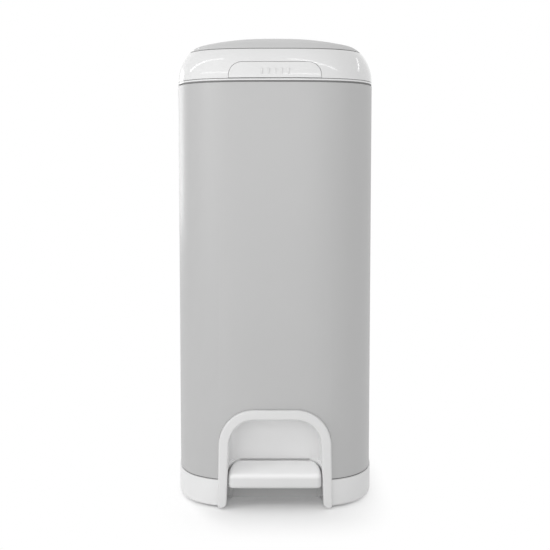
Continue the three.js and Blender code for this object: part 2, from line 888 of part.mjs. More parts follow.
function makeLever() {
  const plateZ = platePadZ()
  const half = leverGauge / 2
  const frontY = -pedalBack - padPlateInset
  const shape = new THREE.Shape()
  shape.moveTo(pivotY, pivotZ - half)
  shape.lineTo(rodY, leverTipZ - leverNose)
  shape.absarc(rodY, leverTipZ, leverNose, -Math.PI / 2, Math.PI / 2)
  shape.lineTo(rodY - rodFootRadius, leverTipZ + leverNose / 3)
  shape.lineTo(rodY - rodFootRadius * 2.5, leverTipZ + leverNose + half / 3)
  shape.lineTo(pivotY, pivotZ + half)
  shape.lineTo(-pedalBack + nicheWall, plateZ + padPlateGauge)
  shape.lineTo(frontY - leverGauge, plateZ + padPlateGauge)
  shape.lineTo(frontY - leverGauge, plateZ - half)
  shape.lineTo(-pedalBack + nicheWall, plateZ - half)
  const arm = throughX(shape, -leverHalfWidth, leverHalfWidth)
  const hub = barX(hubRadius, -hubHalfWidth, hubHalfWidth, pivotY, pivotZ, roundSteps / 2)
  const plate = block(
    [-padPlateHalfWidth, -pedalFront + padPlateInset, plateZ],
    [padPlateHalfWidth, -pedalBack - pedalWall - fitGap, plateZ + padPlateGauge]
  )
  const bore = barX(axleRadius + fitGap, -hubHalfWidth * 2, hubHalfWidth * 2, pivotY, pivotZ)
  const screwY = -(pedalFront + pedalBack) / 2
  const holes = [-1, 1].map((side) =>
    barZ(screwShank + fitGap, plateZ - overrun, plateZ + overrun, side * pedalScrewX, screwY))
  place(pedalGroup, 'pedal_lever', cut(join(arm, hub, plate), bore, ...holes), softGrey())
  for (const [name, side] of [['pedal_screw_left', -1], ['pedal_screw_right', 1]]) {
    const screw = makeScrew(padPlateGauge + pedalScrewLength)
    place(pedalGroup, name, screw, brightSteel(), side * pedalScrewX, screwY, plateZ - fitGap)
  }
}

function makeRod() {
  const rodBottom = rodFootBottom + rodFootHeight - rodSocket
  const rodTop = rodHeadTop - rodHeadHeight + rodSocket
  place(rodGroup, 'push_rod', barZ(rodRadius, rodBottom, rodTop, 0, 0), brightSteel(), 0, rodY)
  const footTop = rodFootBottom + rodFootHeight
  const foot = turned([
    [0, rodFootBottom],
    [rodFootRadius, rodFootBottom],
    [rodFootRadius, footTop - rodFootHeight / 2],
    [rodRadius * 2, footTop],
    [rodRadius + fitGap, footTop],
    [rodRadius + fitGap, rodBottom - fitGap],
    [0, rodBottom - fitGap]
  ], smallSteps)
  place(rodGroup, 'rod_foot', foot, satinWhite(), 0, rodY)
  const head = turned([
    [0, rodTop + fitGap],
    [rodRadius + fitGap, rodTop + fitGap],
    [rodRadius + fitGap, rodHeadTop - rodHeadHeight],
    [rodHeadRadius, rodHeadTop - rodHeadHeight],
    [rodHeadRadius, rodHeadTop - fitGap],
    [rodHeadRadius - fitGap, rodHeadTop],
    [0, rodHeadTop]
  ], smallSteps)
  place(rodGroup, 'rod_head', head, satinWhite(), 0, rodY)
}

// Top housing

function makeTopRing() {
  const steps = 5
  const end = skinTurn(ringWidth)
  const profile = [[halfWidth, ringBottom]]
  for (let i = 0; i <= steps; i++) profile.push(skinPoint((end * i) / steps, 0))
  const seatInner = seatRadius - seatWidth
  const seatUnder = seatFloor - seatWall
  profile.push(
    [seatRadius, seatFloor],
    [seatInner, seatFloor],
    [seatInner, deckTop + fitGap],
    [seatInner + seatWall, deckTop + fitGap],
    [seatInner + seatWall, seatUnder],
    [seatRadius + seatWall, seatUnder]
  )
  for (const share of [0.6, 0.4, 0]) profile.push(skinPoint(end * share, housingWall))
  profile.push([halfWidth - housingWall, ringBottom])
  return squared(profile)
}

// The tab's outline, drawn in from the edge of its hole by the groove
function tabSolid(inset, foot) {
  const shape = archShape(tabHalfWidth - inset, tabTop - inset, tabCorner - inset, foot)
  const back = -wallAt(0) + housingWall * 6
  return solid(throughY(shape, -bodyDepth, back))
}

function makeHousing() {
  const whole = makeTopRing()
  const notch = block(
    [-ringKnuckle - fitGap, lidAxisY - lidBarrel * 3, ringTop - notchFloorDrop],
    [ringKnuckle + fitGap, bodyDepth, ringTop + overrun * 2]
  )
  const fingerSlot = block(
    [-fingerHalfWidth - fitGap * 5, rodY - lifterDepth / 2 - fitGap, deckTop - overrun],
    [fingerHalfWidth + fitGap * 5, lidAxisY - fitGap * 5, ringTop + overrun]
  )
  let housing = cut(whole, notch, fingerSlot, tabSolid(0, ringBottom - overrun))
  for (const side of [-1, 1]) {
    const near = side * (lidKnuckle + fitGap)
    const far = side * ringKnuckle
    const [left, right] = [Math.min(near, far), Math.max(near, far)]
    const lug = block(
      [left, lidAxisY - lidBarrel, seatFloor - seatWall],
      [right, lidAxisY + lidBarrel, lidAxisZ]
    )
    housing = join(housing, lug, barX(lidBarrel, left, right, lidAxisY, lidAxisZ))
  }
  const wall = wallAt(0) - housingWall
  const web = block(
    [-housingKnuckle, wall, ringBottom],
    [housingKnuckle, housingAxisY, ringBottom + housingWebHeight]
  )
  const knuckle = barX(housingBarrel, -housingKnuckle, housingKnuckle, housingAxisY, housingAxisZ)
  housing = join(housing, web, knuckle)
  for (const side of [-1, 1]) {
    const near = side * (tabEyeX + tabEyeWidth + fitGap)
    const far = side * (tabEyeX + tabEyeWidth * 2)
    const [left, right] = [Math.min(near, far), Math.max(near, far)]
    const cheek = block(
      [left, tabAxisY - tabPin - fitGap * 2, tabAxisZ - tabEye],
      [right, tabAxisY + tabEye, deckTop + fitGap * 3]
    )
    const strut = block(
      [left, tabAxisY, deckTop + fitGap],
      [right, -wallAt(0, seatRadius - seatWidth) - seatWall / 2, seatFloor - seatWall / 2]
    )
    housing = join(housing, cheek, strut)
  }
  const tabBore = barX(tabPin + fitGap, -tabHalfWidth, tabHalfWidth, tabAxisY, tabAxisZ)
  const housingBore = barX(housingPin + fitGap, -collarKnuckle, collarKnuckle, housingAxisY, housingAxisZ)
  const lidBore = barX(lidPin + fitGap, -ringKnuckle * 2, ringKnuckle * 2, lidAxisY, lidAxisZ)
  housing = cut(housing, tabBore, housingBore, lidBore)
  for (const [x, y] of fourCorners(deckScrewShare)) {
    housing = cut(housing, barZ(screwShank + fitGap, deckTop, deckTop + deckScrewLength, x, y))
  }
  place(housingGroup, 'top_housing', housing, glossWhite())
  const lidHingePin = barX(lidPin, -ringKnuckle, ringKnuckle, lidAxisY, lidAxisZ)
  place(housingGroup, 'lid_hinge_pin', lidHingePin, brightSteel())
}

function makeDeck() {
  const edge = halfWidth - deckInset
  const hole = wellOuter + fitGap
  let deck = squared([[0, deckBottom], [edge, deckBottom], [edge, deckTop], [0, deckTop]])
  deck = cut(deck, disc(hole, deckBottom - overrun, deckTop + overrun))
  const slotHalf = fingerHalfWidth + lifterSlotPlay
  const slotBack = rodY + rodHeadRadius + fitGap * 2
  for (const side of [-1, 1]) {
    const inside = side * slotHalf
    const outside = side * (slotHalf + guideRib)
    const [left, right] = [Math.min(inside, outside), Math.max(inside, outside)]
    const rib = block(
      [left, rodY - lifterDepth / 2, deckBottom - guideRibDrop],
      [right, slotBack, deckTop]
    )
    deck = join(deck, rib)
  }
  const raised = Math.hypot(housingAxisY - rodY + rodHeadRadius, liftTravel)
  const slotFront = housingAxisY - raised - fitGap * 3
  const slot = block(
    [-slotHalf, slotFront, deckBottom - overrun],
    [slotHalf, slotBack, deckTop + overrun]
  )
  const deckFront = -wallAt(0, seatRadius - seatWidth + seatWall) - fitGap
  const tabRoom = block(
    [-tabHalfWidth, -bodyDepth, deckBottom - overrun],
    [tabHalfWidth, deckFront, deckTop + overrun]
  )
  const postFront = tabSpringY + tabSpringHalf
  const springPost = block(
    [-springPostHalfWidth, postFront, tabSpringZ - tabSpringRadius],
    [springPostHalfWidth, postFront + springPostGauge, deckTop]
  )
  const postArm = block(
    [-springPostHalfWidth, postFront, deckBottom],
    [springPostHalfWidth, deckFront + springPostGauge, deckTop]
  )
  deck = join(cut(deck, slot, tabRoom), springPost, postArm)
  for (const [x, y] of fourCorners(deckScrewShare)) {
    deck = cut(deck, barZ(screwShank + fitGap, deckBottom - overrun, deckTop + overrun, x, y))
  }
  place(housingGroup, 'inner_deck', deck, satinWhite())
  fourCorners(deckScrewShare).forEach(([x, y], i) => {
    const screw = makeScrew(deckScrewLength)
    place(housingGroup, `deck_screw_${i + 1}`, screw, brightSteel(), x, y, deckBottom - fitGap)
  })
}

function makeWell() {
  const bottom = deckTop - wellDepth
  const flangeBottom = deckTop + fitGap
  const flangeTop = flangeBottom + wellFlangeGauge
  const well = turned([
    [wellMouth, bottom],
    [wellOuter, bottom],
    [wellOuter, flangeBottom],
    [wellOuter + wellFlange, flangeBottom],
    [wellOuter + wellFlange, flangeTop],
    [wellInner, flangeTop],
    [wellInner, bottom + wellFloor],
    [wellMouth, bottom + wellFloor]
  ])
  place(housingGroup, 'refill_well', well, satinWhite())
  const sealBottom = flangeTop + fitGap
  const seal = turned([
    [wellOuter + sealInset, sealBottom],
    [wellOuter + wellFlange - sealInset, sealBottom],
    [wellOuter + wellFlange - sealInset * 2, sealBottom + sealHeight],
    [wellOuter + sealInset * 2, sealBottom + sealHeight]
  ])
  place(housingGroup, 'well_seal', seal, softGrey())
}

function makeCassette() {
  const bottom = deckTop - wellDepth + wellFloor + fitGap
  const top = bottom + cassetteHeight
  const capBottom = top - cassetteWall
  const cup = turned([
    [cassetteBore, bottom],
    [cassetteRadius, bottom],
    [cassetteRadius, capBottom - fitGap],
    [cassetteRadius - cassetteWall, capBottom - fitGap],
    [cassetteRadius - cassetteWall, bottom + cassetteWall],
    [cassetteBore + cassetteWall, bottom + cassetteWall],
    [cassetteBore + cassetteWall, capBottom - filmGap],
    [cassetteBore, capBottom - filmGap]
  ])
  place(housingGroup, 'cassette_cup', cup, glossWhite())
  const cap = turned([
    [cassetteBore - cassetteLip, capBottom],
    [cassetteRadius, capBottom],
    [cassetteRadius, top],
    [cassetteBore - cassetteLip, top]
  ])
  place(housingGroup, 'cassette_cap', cap, glossWhite())
  const film = turned([
    [cassetteBore + cassetteWall + fitGap, bottom + cassetteWall + fitGap],
    [cassetteRadius - cassetteWall - fitGap, bottom + cassetteWall + fitGap],
    [cassetteRadius - cassetteWall - fitGap, capBottom - fitGap],
    [cassetteBore + cassetteWall + fitGap, capBottom - filmGap - fitGap]
  ])
  place(housingGroup, 'film_pack', film, filmBlue())
}

function makeClamp() {
  const top = deckTop - wellDepth - fitGap
  const axisZ = top - jawAxisDrop
  const inside = clampOuter - clampWall
  let frame = turned([
    [wellMouth, top - clampWall],
    [inside, top - clampWall],
    [inside, top - clampHeight],
    [clampOuter, top - clampHeight],
    [clampOuter, top],
    [wellMouth, top]
  ])
  for (const sideX of [-1, 1]) {
    for (const sideY of [-1, 1]) {
      const near = sideY * (jawHalfLength + fitGap)
      const far = sideY * (jawHalfLength + jawLug)
      const x = sideX * jawAxisX
      frame = join(frame, block(
        [x - jawBarrel, Math.min(near, far), axisZ - jawBarrel],
        [x + jawBarrel, Math.max(near, far), top - clampWall / 2]
      ))
    }
    const x = sideX * jawAxisX
    frame = cut(frame, barY(jawPin + fitGap, -jawReach, jawReach, x, axisZ))
  }
  place(housingGroup, 'clamp_frame', frame, satinWhite())
  const sides = [['left', -1, leftJawGroup], ['right', 1, rightJawGroup]]
  for (const [side, sign, group] of sides) {
    const x = sign * jawAxisX
    const end = jawHalfLength + jawLug
    const pin = barY(jawPin, -end, end, x, axisZ)
    place(housingGroup, `clamp_pin_${side}`, pin, brightSteel())
    place(group, `clamp_jaw_${side}`, makeJaw(sign, axisZ), softGrey())
    place(housingGroup, `clamp_spring_${side}`, makeJawSpring(x, axisZ), brightSteel())
  }
}

// Half a disc with a barrel along its outer edge and a gap in the barrel for the spring
function makeJaw(sign, axisZ) {
  const half = disc(jawReach, axisZ - jawGauge / 2, axisZ + jawGauge / 2)
  const clear = jawAxisX - jawBarrel * 1.5 - fitGap
  const edges = [sign * jawSlit, sign * clear].sort((a, b) => a - b)
  const keep = block([edges[0], -jawReach, axisZ - overrun], [edges[1], jawReach, axisZ + overrun])
  const root = [sign * (clear - jawBarrel), sign * jawAxisX].sort((a, b) => a - b)
  const link = block(
    [root[0], -jawHalfLength, axisZ - jawGauge / 2],
    [root[1], jawHalfLength, axisZ + jawGauge / 2]
  )
  const barrel = barY(jawBarrel, -jawHalfLength, jawHalfLength, sign * jawAxisX, axisZ)
  const springHalf = springSpan() / 2 + fitGap * 2
  const window = block(
    [sign * jawAxisX - jawBarrel * 2, -springHalf, axisZ - jawBarrel * 2],
    [sign * jawAxisX + jawBarrel * 2, springHalf, axisZ + jawBarrel * 2]
  )
  const bore = barY(jawPin + fitGap, -jawReach, jawReach, sign * jawAxisX, axisZ)
  return cut(join(half.intersect(keep), link, barrel), bore, window)
}

function springSpan() {
  return springTurns * springPitch + springWire * 2
}

function makeJawSpring(x, z) {
  const radius = jawPin + springPlay + springWire / 2
  const spring = coil(radius, springWire, springTurns, springPitch)
  return spring.translate([x, 0, z])
}

// One unbroken wire wound round the Y axis, 8 steps of 5 sides to a curl
function coil(radius, wire, turns, pitch) {
  const curlSteps = 8
  const sides = 5
  const steps = turns * curlSteps
  const position = []
  const index = []
  const rise = pitch / curlSteps
  const start = -(turns * pitch) / 2
  const centres = []
  for (let i = 0; i <= steps; i++) {
    const turn = (i / curlSteps) * Math.PI * 2
    const out = new THREE.Vector3(Math.cos(turn), 0, Math.sin(turn))
    const centre = out.clone().multiplyScalar(radius)
    centre.y = start + rise * i
    centres.push(centre)
    const along = new THREE.Vector3(-Math.sin(turn), rise / radius, Math.cos(turn)).normalize()
    const across = new THREE.Vector3().crossVectors(along, out)
    for (let k = 0; k < sides; k++) {
      const angle = (k / sides) * Math.PI * 2
      const point = centre.clone()
      point.addScaledVector(out, (Math.cos(angle) * wire) / 2)
      point.addScaledVector(across, (Math.sin(angle) * wire) / 2)
      position.push(point.x, point.y, point.z)
    }
  }
  for (let i = 0; i < steps; i++) {
    for (let k = 0; k < sides; k++) {
      const a = i * sides + k
      const b = i * sides + ((k + 1) % sides)
      index.push(a, b, b + sides, a, b + sides, a + sides)
    }
  }
  for (let k = 1; k < sides - 1; k++) {
    const last = steps * sides
    index.push(0, k + 1, k)
    index.push(last, last + k, last + k + 1)
  }
  printLeastGap(centres, curlSteps, wire)
  const geometry = new THREE.BufferGeometry()
  geometry.setAttribute('position', new THREE.Float32BufferAttribute(position, 3))
  geometry.setIndex(index)
  return solid(geometry)
}

// Measures how near one curl of a wire comes to the next, on the wire's centre points
function printLeastGap(centres, curlSteps, wire) {
  let least = Infinity
  for (let i = 0; i < centres.length; i++) {
    for (let k = i + curlSteps - 2; k < centres.length; k++) {
      least = Math.min(least, centres[i].distanceTo(centres[k]) - wire)
    }
  }
  console.log(`spring wire ${wire} mm, least gap to itself ${least.toFixed(2)} mm`)
}

function makeCutter() {
  const top = deckBottom - fitGap
  const bottom = top - cutterHeight
  const body = cut(
    block([-cutterWidth / 2, -cutterLength / 2, bottom], [cutterWidth / 2, cutterLength / 2, top]),
    block(
      [-cutterNotch / 2, -cutterLength, bottom - overrun],
      [cutterNotch / 2, cutterLength, bottom + cutterHeight / 2]
    )
  )
  place(housingGroup, 'film_cutter', body, softGrey(), -cutterX)
  const bladeTop = bottom + cutterHeight / 2 - fitGap
  const shape = new THREE.Shape()
  shape.moveTo(-cutterLength / 3, bladeTop)
  shape.lineTo(-cutterLength / 4, bottom + cutterHeight / 6)
  shape.lineTo(cutterLength / 4, bottom + cutterHeight / 4)
  shape.lineTo(cutterLength / 3, bladeTop)
  const blade = throughX(shape, -bladeGauge / 2, bladeGauge / 2)
  place(housingGroup, 'cutter_blade', blade, brightSteel(), -cutterX)
}

function makeLatch() {
  const plate = makeTopRing().intersect(tabSolid(tabGroove, tabFootZ))
  const skinBack = -wallAt(0) + housingWall / 2
  const strikeBottom = bandTop - strikeHeight * 3
  const shank = block(
    [-hookHalfWidth, hookFront, strikeBottom - hookTooth - fitGap],
    [hookHalfWidth, hookFront + hookGauge, tabFootZ + hookDrop / 2]
  )
  const bridge = block(
    [-hookHalfWidth, skinBack, tabSpringZ],
    [hookHalfWidth, hookFront + hookGauge, tabFootZ + hookDrop / 2]
  )
  let tab = join(plate, shank, bridge)
  for (const side of [-1, 1]) {
    const near = side * tabEyeX
    const far = side * (tabEyeX + tabEyeWidth)
    const [left, right] = [Math.min(near, far), Math.max(near, far)]
    const eye = barX(tabEye, left, right, tabAxisY, tabAxisZ)
    const stem = block(
      [left, -wallAt(tabEyeX) + housingWall / 2, tabAxisZ - tabEye / 2],
      [right, tabAxisY, tabAxisZ + tabEye / 2]
    )
    tab = join(tab, eye, stem)
  }
  for (let i = 0; i < ribCount; i++) {
    const x = (i - (ribCount - 1) / 2) * ribPitch
    const z = (tabFootZ + tabTop) / 2 - ribWidth
    const rib = block(
      [x - ribWidth / 2, -wallAt(0) - ribRise, z - ribLength / 2],
      [x + ribWidth / 2, skinBack, z + ribLength / 2]
    )
    tab = join(tab, rib)
  }
  tab = cut(tab, barX(tabPin + fitGap, -tabHalfWidth, tabHalfWidth, tabAxisY, tabAxisZ))
  place(latchGroup, 'latch_tab', tab, glossWhite())
  const pinEnd = tabEyeX + tabEyeWidth * 2
  for (const [name, side] of [['latch_pin_left', -1], ['latch_pin_right', 1]]) {
    const [left, right] = side < 0 ? [-pinEnd, -tabEyeX] : [tabEyeX, pinEnd]
    place(housingGroup, name, barX(tabPin, left, right, tabAxisY, tabAxisZ), brightSteel())
  }
  const spring = coil(tabSpringRadius, tabSpringWire, tabSpringTurns, tabSpringPitch)
  place(housingGroup, 'latch_spring', spring, brightSteel(), 0, tabSpringY, tabSpringZ)
}

function makeLifter() {
  const half = lifterDepth / 2
  const bar = block([-fingerHalfWidth, -half, lifterBottom], [fingerHalfWidth, half, lifterTop])
  const capBottom = deckTop + fitGap
  const seatInner = wallAt(lifterCapHalfWidth, seatRadius - seatWidth)
  const cap = block(
    [-lifterCapHalfWidth, -half, capBottom],
    [lifterCapHalfWidth, seatInner - fitGap * 2 - rodY, capBottom + lifterCapHeight]
  )
  place(lifterGroup, 'lid_lifter', join(bar, cap), softGrey(), 0, rodY)
}

// Lid

function domeProfile(depth, inset, steps, domeSteps) {
  const start = skinTurn(inset)
  const points = []
  for (let i = 0; i <= steps; i++) {
    points.push(skinPoint(start + ((shoulderEnd - start) * i) / steps, depth))
  }
  const edge = points[points.length - 1][0]
  for (let i = 1; i <= domeSteps; i++) {
    const half = edge * (1 - i / domeSteps)
    points.push([half, shoulderStart + shoulderHeight - depth + crown(halfWidth - half)])
  }
  return points
}

function lidInside(depth) {
  return domeProfile(depth, ringWidth + lidSeam, 2, 3)
}

function makeLid() {
  const rimOuter = seatRadius - lidSeam
  const rimInner = rimOuter - lidWall
  const rimBottom = ringTop - lidRim
  const outside = domeProfile(0, ringWidth + lidSeam, 3, 5)
  const inside = lidInside(lidWall).filter(([half]) => half < rimInner - fitGap)
  const neck = rimOuter - lidUndercut
  const profile = [...outside.slice().reverse()]
  profile.push(
    [rimOuter, outside[0][1] - lidLip],
    [neck, outside[0][1] - lidLip],
    [neck, rimBottom],
    [rimInner, rimBottom],
    [rimInner, inside[0][1] - lidWall / 2],
    ...inside
  )
  const dome = squared(profile)
  const notch = block(
    [-lidKnuckle - fitGap, lidAxisY - lidBarrel * 3, rimBottom - overrun],
    [lidKnuckle + fitGap, bodyDepth, lidAxisZ + lidBarrel / 3]
  )
  const hingeHalf = ringKnuckle + fitGap * 2
  const barrelRoom = barX(lidBarrel + fitGap * 2, -hingeHalf, hingeHalf, lidAxisY, lidAxisZ)
  const lugRoom = block(
    [-hingeHalf, lidAxisY - lidBarrel - fitGap * 2, rimBottom - overrun],
    [hingeHalf, bodyDepth, lidAxisZ]
  )
  place(lidGroup, 'lid_dome', cut(dome, notch, lugRoom, barrelRoom), domeGrey())

  const linerEdge = rimInner - linerPlay
  const linerBottom = rimBottom + linerPlay
  const plugBottom = deckTop + fitGap * 3 + wellFlangeGauge + sealHeight
  const liner = squared([
    [0, linerBottom],
    [linerEdge, linerBottom],
    [linerEdge, linerBottom + linerGauge],
    [0, linerBottom + linerGauge]
  ])
  const plug = ring(plugRadius, plugRadius - plugWall, plugBottom, linerBottom + linerGauge / 2)
  const hingeRoom = block(
    [-lidKnuckle - fitGap * 2, lidAxisY - hingeBlockReach - fitGap, plugBottom],
    [lidKnuckle + fitGap * 2, bodyDepth, ringTop + overrun]
  )
  place(lidGroup, 'lid_liner', join(cut(liner, hingeRoom), plug), satinWhite())
  makeLidHinge(linerBottom + linerGauge)
  makeFilter(linerBottom)
}

function makeLidHinge(linerTop) {
  const core = squared([[0, linerTop + fitGap], [seatRadius - lidSeam - lidWall - fitGap,
    linerTop + fitGap], ...lidInside(lidWall + fitGap)
    .filter(([half]) => half < seatRadius - lidSeam - lidWall - fitGap * 2)])
  const front = lidAxisY - hingeBlockReach
  const slab = block(
    [-lidKnuckle, front, linerTop + fitGap],
    [lidKnuckle, lidAxisY, lidAxisZ + lidBarrel * 2]
  )
  const tongue = block(
    [-lidKnuckle, lidAxisY - lidBarrel * 3, lidAxisZ - lidBarrel],
    [lidKnuckle, lidAxisY, lidAxisZ]
  )
  const barrel = barX(lidBarrel, -lidKnuckle, lidKnuckle, lidAxisY, lidAxisZ)
  const finger = new THREE.Shape()
  finger.moveTo(lidAxisY, lidAxisZ)
  finger.lineTo(noseY + noseRadius, noseZ)
  finger.absarc(noseY, noseZ, noseRadius, 0, -Math.PI, true)
  finger.lineTo(noseY - noseRadius, lidAxisZ)
  const hinge = join(core.intersect(slab), tongue, barrel,
    throughX(finger, -fingerHalfWidth, fingerHalfWidth))
  const bore = barX(lidPin + fitGap, -lidKnuckle * 2, lidKnuckle * 2, lidAxisY, lidAxisZ)
  place(lidGroup, 'lid_hinge', cut(hinge, bore), satinWhite())
}

function makeFilter(linerBottom) {
  const top = linerBottom - fitGap
  const bottom = top - filterHeight
  let holder = turned([
    [0, bottom],
    [filterRadius, bottom],
    [filterRadius, top],
    [filterRadius - filterWall, top],
    [filterRadius - filterWall, bottom + filterWall],
    [0, bottom + filterWall]
  ])
  for (let i = 0; i < filterSlots; i++) {
    const x = (i - (filterSlots - 1) / 2) * filterSlotWidth * 2
    const reach = Math.sqrt((filterRadius - filterWall * 3) ** 2 - x * x)
    holder = cut(holder, block(
      [x - filterSlotWidth / 2, -reach, bottom - overrun],
      [x + filterSlotWidth / 2, reach, bottom + filterWall + fitGap]
    ))
  }
  place(lidGroup, 'filter_holder', holder, satinWhite())
  const pad = disc(filterRadius - filterWall - fitGap, bottom + filterWall + fitGap, top - fitGap)
  place(lidGroup, 'carbon_filter', pad, carbonBlack())
}

makeShell()
makeCollar()
makeSkirt()
makeBasePlate()
makeSurround()
makeFloorTray()
makeRodChannel()
makeHousingPin()
makePedal()
makeLever()
makeRod()
makeHousing()
makeDeck()
makeWell()
makeCassette()
makeClamp()
makeCutter()
makeLatch()
makeLifter()
makeLid()

export default bin
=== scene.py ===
# %% [markdown]
# # A foot-operated nappy bin
# This lesson dresses a measured bin for a studio picture. The frame holds every working piece at
# its real size. Here each visible piece gets a smooth surface, rounded edges and a finish. All
# lengths are in metres, and `mm` turns a length in millimetres into metres.

# %% Load the frame
import json
import math

import bmesh
import bpy
from mathutils import Matrix, Vector

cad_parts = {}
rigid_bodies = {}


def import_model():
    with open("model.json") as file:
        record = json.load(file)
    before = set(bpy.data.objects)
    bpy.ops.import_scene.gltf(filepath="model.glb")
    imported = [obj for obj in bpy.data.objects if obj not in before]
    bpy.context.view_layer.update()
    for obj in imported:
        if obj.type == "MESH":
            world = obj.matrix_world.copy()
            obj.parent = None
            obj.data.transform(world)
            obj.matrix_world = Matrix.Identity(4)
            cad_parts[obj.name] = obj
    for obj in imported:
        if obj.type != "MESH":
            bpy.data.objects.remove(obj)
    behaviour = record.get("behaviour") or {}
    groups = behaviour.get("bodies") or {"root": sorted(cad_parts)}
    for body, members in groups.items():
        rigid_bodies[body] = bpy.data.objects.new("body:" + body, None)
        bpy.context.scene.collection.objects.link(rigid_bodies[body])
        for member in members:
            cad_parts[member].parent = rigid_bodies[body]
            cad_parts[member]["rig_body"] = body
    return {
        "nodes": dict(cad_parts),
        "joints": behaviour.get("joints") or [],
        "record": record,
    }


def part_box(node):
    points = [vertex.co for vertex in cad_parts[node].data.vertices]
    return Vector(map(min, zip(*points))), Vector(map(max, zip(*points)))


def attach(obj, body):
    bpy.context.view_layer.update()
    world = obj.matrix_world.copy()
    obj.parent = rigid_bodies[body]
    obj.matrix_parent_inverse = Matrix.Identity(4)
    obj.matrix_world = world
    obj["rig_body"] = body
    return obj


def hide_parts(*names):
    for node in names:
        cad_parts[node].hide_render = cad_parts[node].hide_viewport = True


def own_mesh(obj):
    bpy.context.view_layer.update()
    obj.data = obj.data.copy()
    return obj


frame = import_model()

scene = bpy.context.scene
scene.view_settings.view_transform = "Standard"
mm = 0.001


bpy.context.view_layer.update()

# %% [markdown]
# ## Camera
# The picture was taken from in front, a little above the middle of the bin, looking slightly
# down. A camera is fitted by matching three things in the picture: how wide the bin is at several
# heights, how much each seam bends, and where the top edge ends. A plain pinhole with these
# values meets all of them, so no lens shift is needed.

# %% Camera
picture_pixels = 550
focal_pixels = 1157.8
camera_distance = 1725.5 * mm
camera_height = 474.7 * mm
look_down = math.radians(5.31)

camera_data = bpy.data.cameras.new("picture_camera")
camera_data.sensor_width = 36
camera_data.lens = focal_pixels / picture_pixels * camera_data.sensor_width
camera_data.clip_end = 50
camera = bpy.data.objects.new("picture_camera", camera_data)
camera.location = (0, -camera_distance, camera_height)
camera.rotation_euler = (math.pi / 2 - look_down, 0, 0)
scene.collection.objects.link(camera)
scene.camera = camera
print("lens", round(camera_data.lens, 1))

# %% [markdown]
# ## Studio
# A white product picture has a pale floor that fades into a white surround. The surround shows as
# white to the camera and in reflections, but lights the bin gently. Two softboxes in front, one low
# and one high, reach into the niche under the arch. A stronger one on the left makes the round body
# shade from left to right, a weak one on the right fills that side, and a small lamp behind the
# left shoulder brightens that edge. The small functions that add nodes serve every material too.

# %% World
ambient_strength = 0.70
white = (1, 1, 1, 1)


def add_node(tree, kind, inputs=None, operation=None):
    """Adds a node. Each input gets a constant, or a link where its value is a socket."""
    node = tree.nodes.new(kind)
    if operation:
        node.operation = operation
    for label, value in (inputs or {}).items():
        if isinstance(value, bpy.types.NodeSocket):
            tree.links.new(value, node.inputs[label])
        else:
            node.inputs[label].default_value = value
    return node


def maths(tree, operation, *values):
    return add_node(tree, "ShaderNodeMath", dict(enumerate(values)), operation).outputs["Value"]


def seen_directly(tree):
    """Gives 1 for rays whose result the camera sees as background."""
    path = add_node(tree, "ShaderNodeLightPath").outputs
    seen = maths(tree, "MAXIMUM", path["Is Camera Ray"], path["Is Glossy Ray"])
    return maths(tree, "MAXIMUM", seen, path["Is Transmission Ray"])


def blend_surfaces(tree, share, first, second, kind):
    """Ends a tree with a blend of two shaders."""
    mix = add_node(tree, "ShaderNodeMixShader", {0: share, 1: first, 2: second})
    add_node(tree, kind, {"Surface": mix.outputs[0]})


world = bpy.data.worlds.new("studio")
scene.world = world
world.use_nodes = True
tree = world.node_tree
tree.nodes.clear()
lit, seen = [
    add_node(tree, "ShaderNodeBackground", {"Color": white, "Strength": strength}).outputs[0]
    for strength in (ambient_strength, 1.0)
]
blend_surfaces(tree, seen_directly(tree), lit, seen, "ShaderNodeOutputWorld")

# %% Softboxes
body_middle = Vector((0, 0, 0.36))


def aim(lamp, target, along=None):
    """Turns a lamp's face to a target, with its long side in a given direction."""
    away = (lamp.location - target).normalized()
    side = (along or Vector((away.y, -away.x, 0))).normalized()
    side = (side - away * side.dot(away)).normalized()
    turn = Matrix((side, away.cross(side), away)).transposed()
    lamp.rotation_euler = turn.to_euler()


def area_lamp(name, place, width, height, watts):
    data = bpy.data.lights.new(name, "AREA")
    data.shape = "RECTANGLE"
    data.size = width
    data.size_y = height
    data.energy = watts
    lamp = bpy.data.objects.new(name, data)
    lamp.location = place
    lamp.visible_camera = False
    scene.collection.objects.link(lamp)
    return lamp


def softbox(name, place, width, height, watts):
    lamp = area_lamp(name, place, width, height, watts)
    lamp.visible_glossy = False
    aim(lamp, body_middle)


softbox("key_softbox", (-2.3, -1.45, 1.2), 1.3, 1.5, 18.9)
softbox("front_low_softbox", (-0.2, -2.8, 0.95), 1.6, 0.8, 10.9)
softbox("front_high_softbox", (-0.3, -2.1, 2.2), 1.6, 1.2, 7.4)
softbox("fill_softbox", (1.9, -2.0, 1.3), 1.4, 1.4, 2.1)
softbox("left_shoulder_lamp", (-0.42, 0.6, 0.85), 0.2, 0.3, 3)

# %% [markdown]
# The glossy top shows thin curved highlights. Each is the mirror image of a long strip lamp. Where
# a strip must stand follows from mirroring the line of sight at the surface: the highlight on the
# left shoulder looks up and to the left, the one on the right looks up over the camera, and the
# bright left edge of the steel looks back past the bin. These strips show only in reflections, so
# they can be moved without changing how the bin is lit.

# %% Strips for the highlights
top_middle = Vector((0, 0, 0.61))


def highlight_strip(name, start, end, width, brightness):
    start, end = Vector(start), Vector(end)
    length = (end - start).length
    lamp = area_lamp(name, (start + end) / 2, length, width, brightness * length * width)
    lamp.visible_diffuse = False
    aim(lamp, top_middle, end - start)


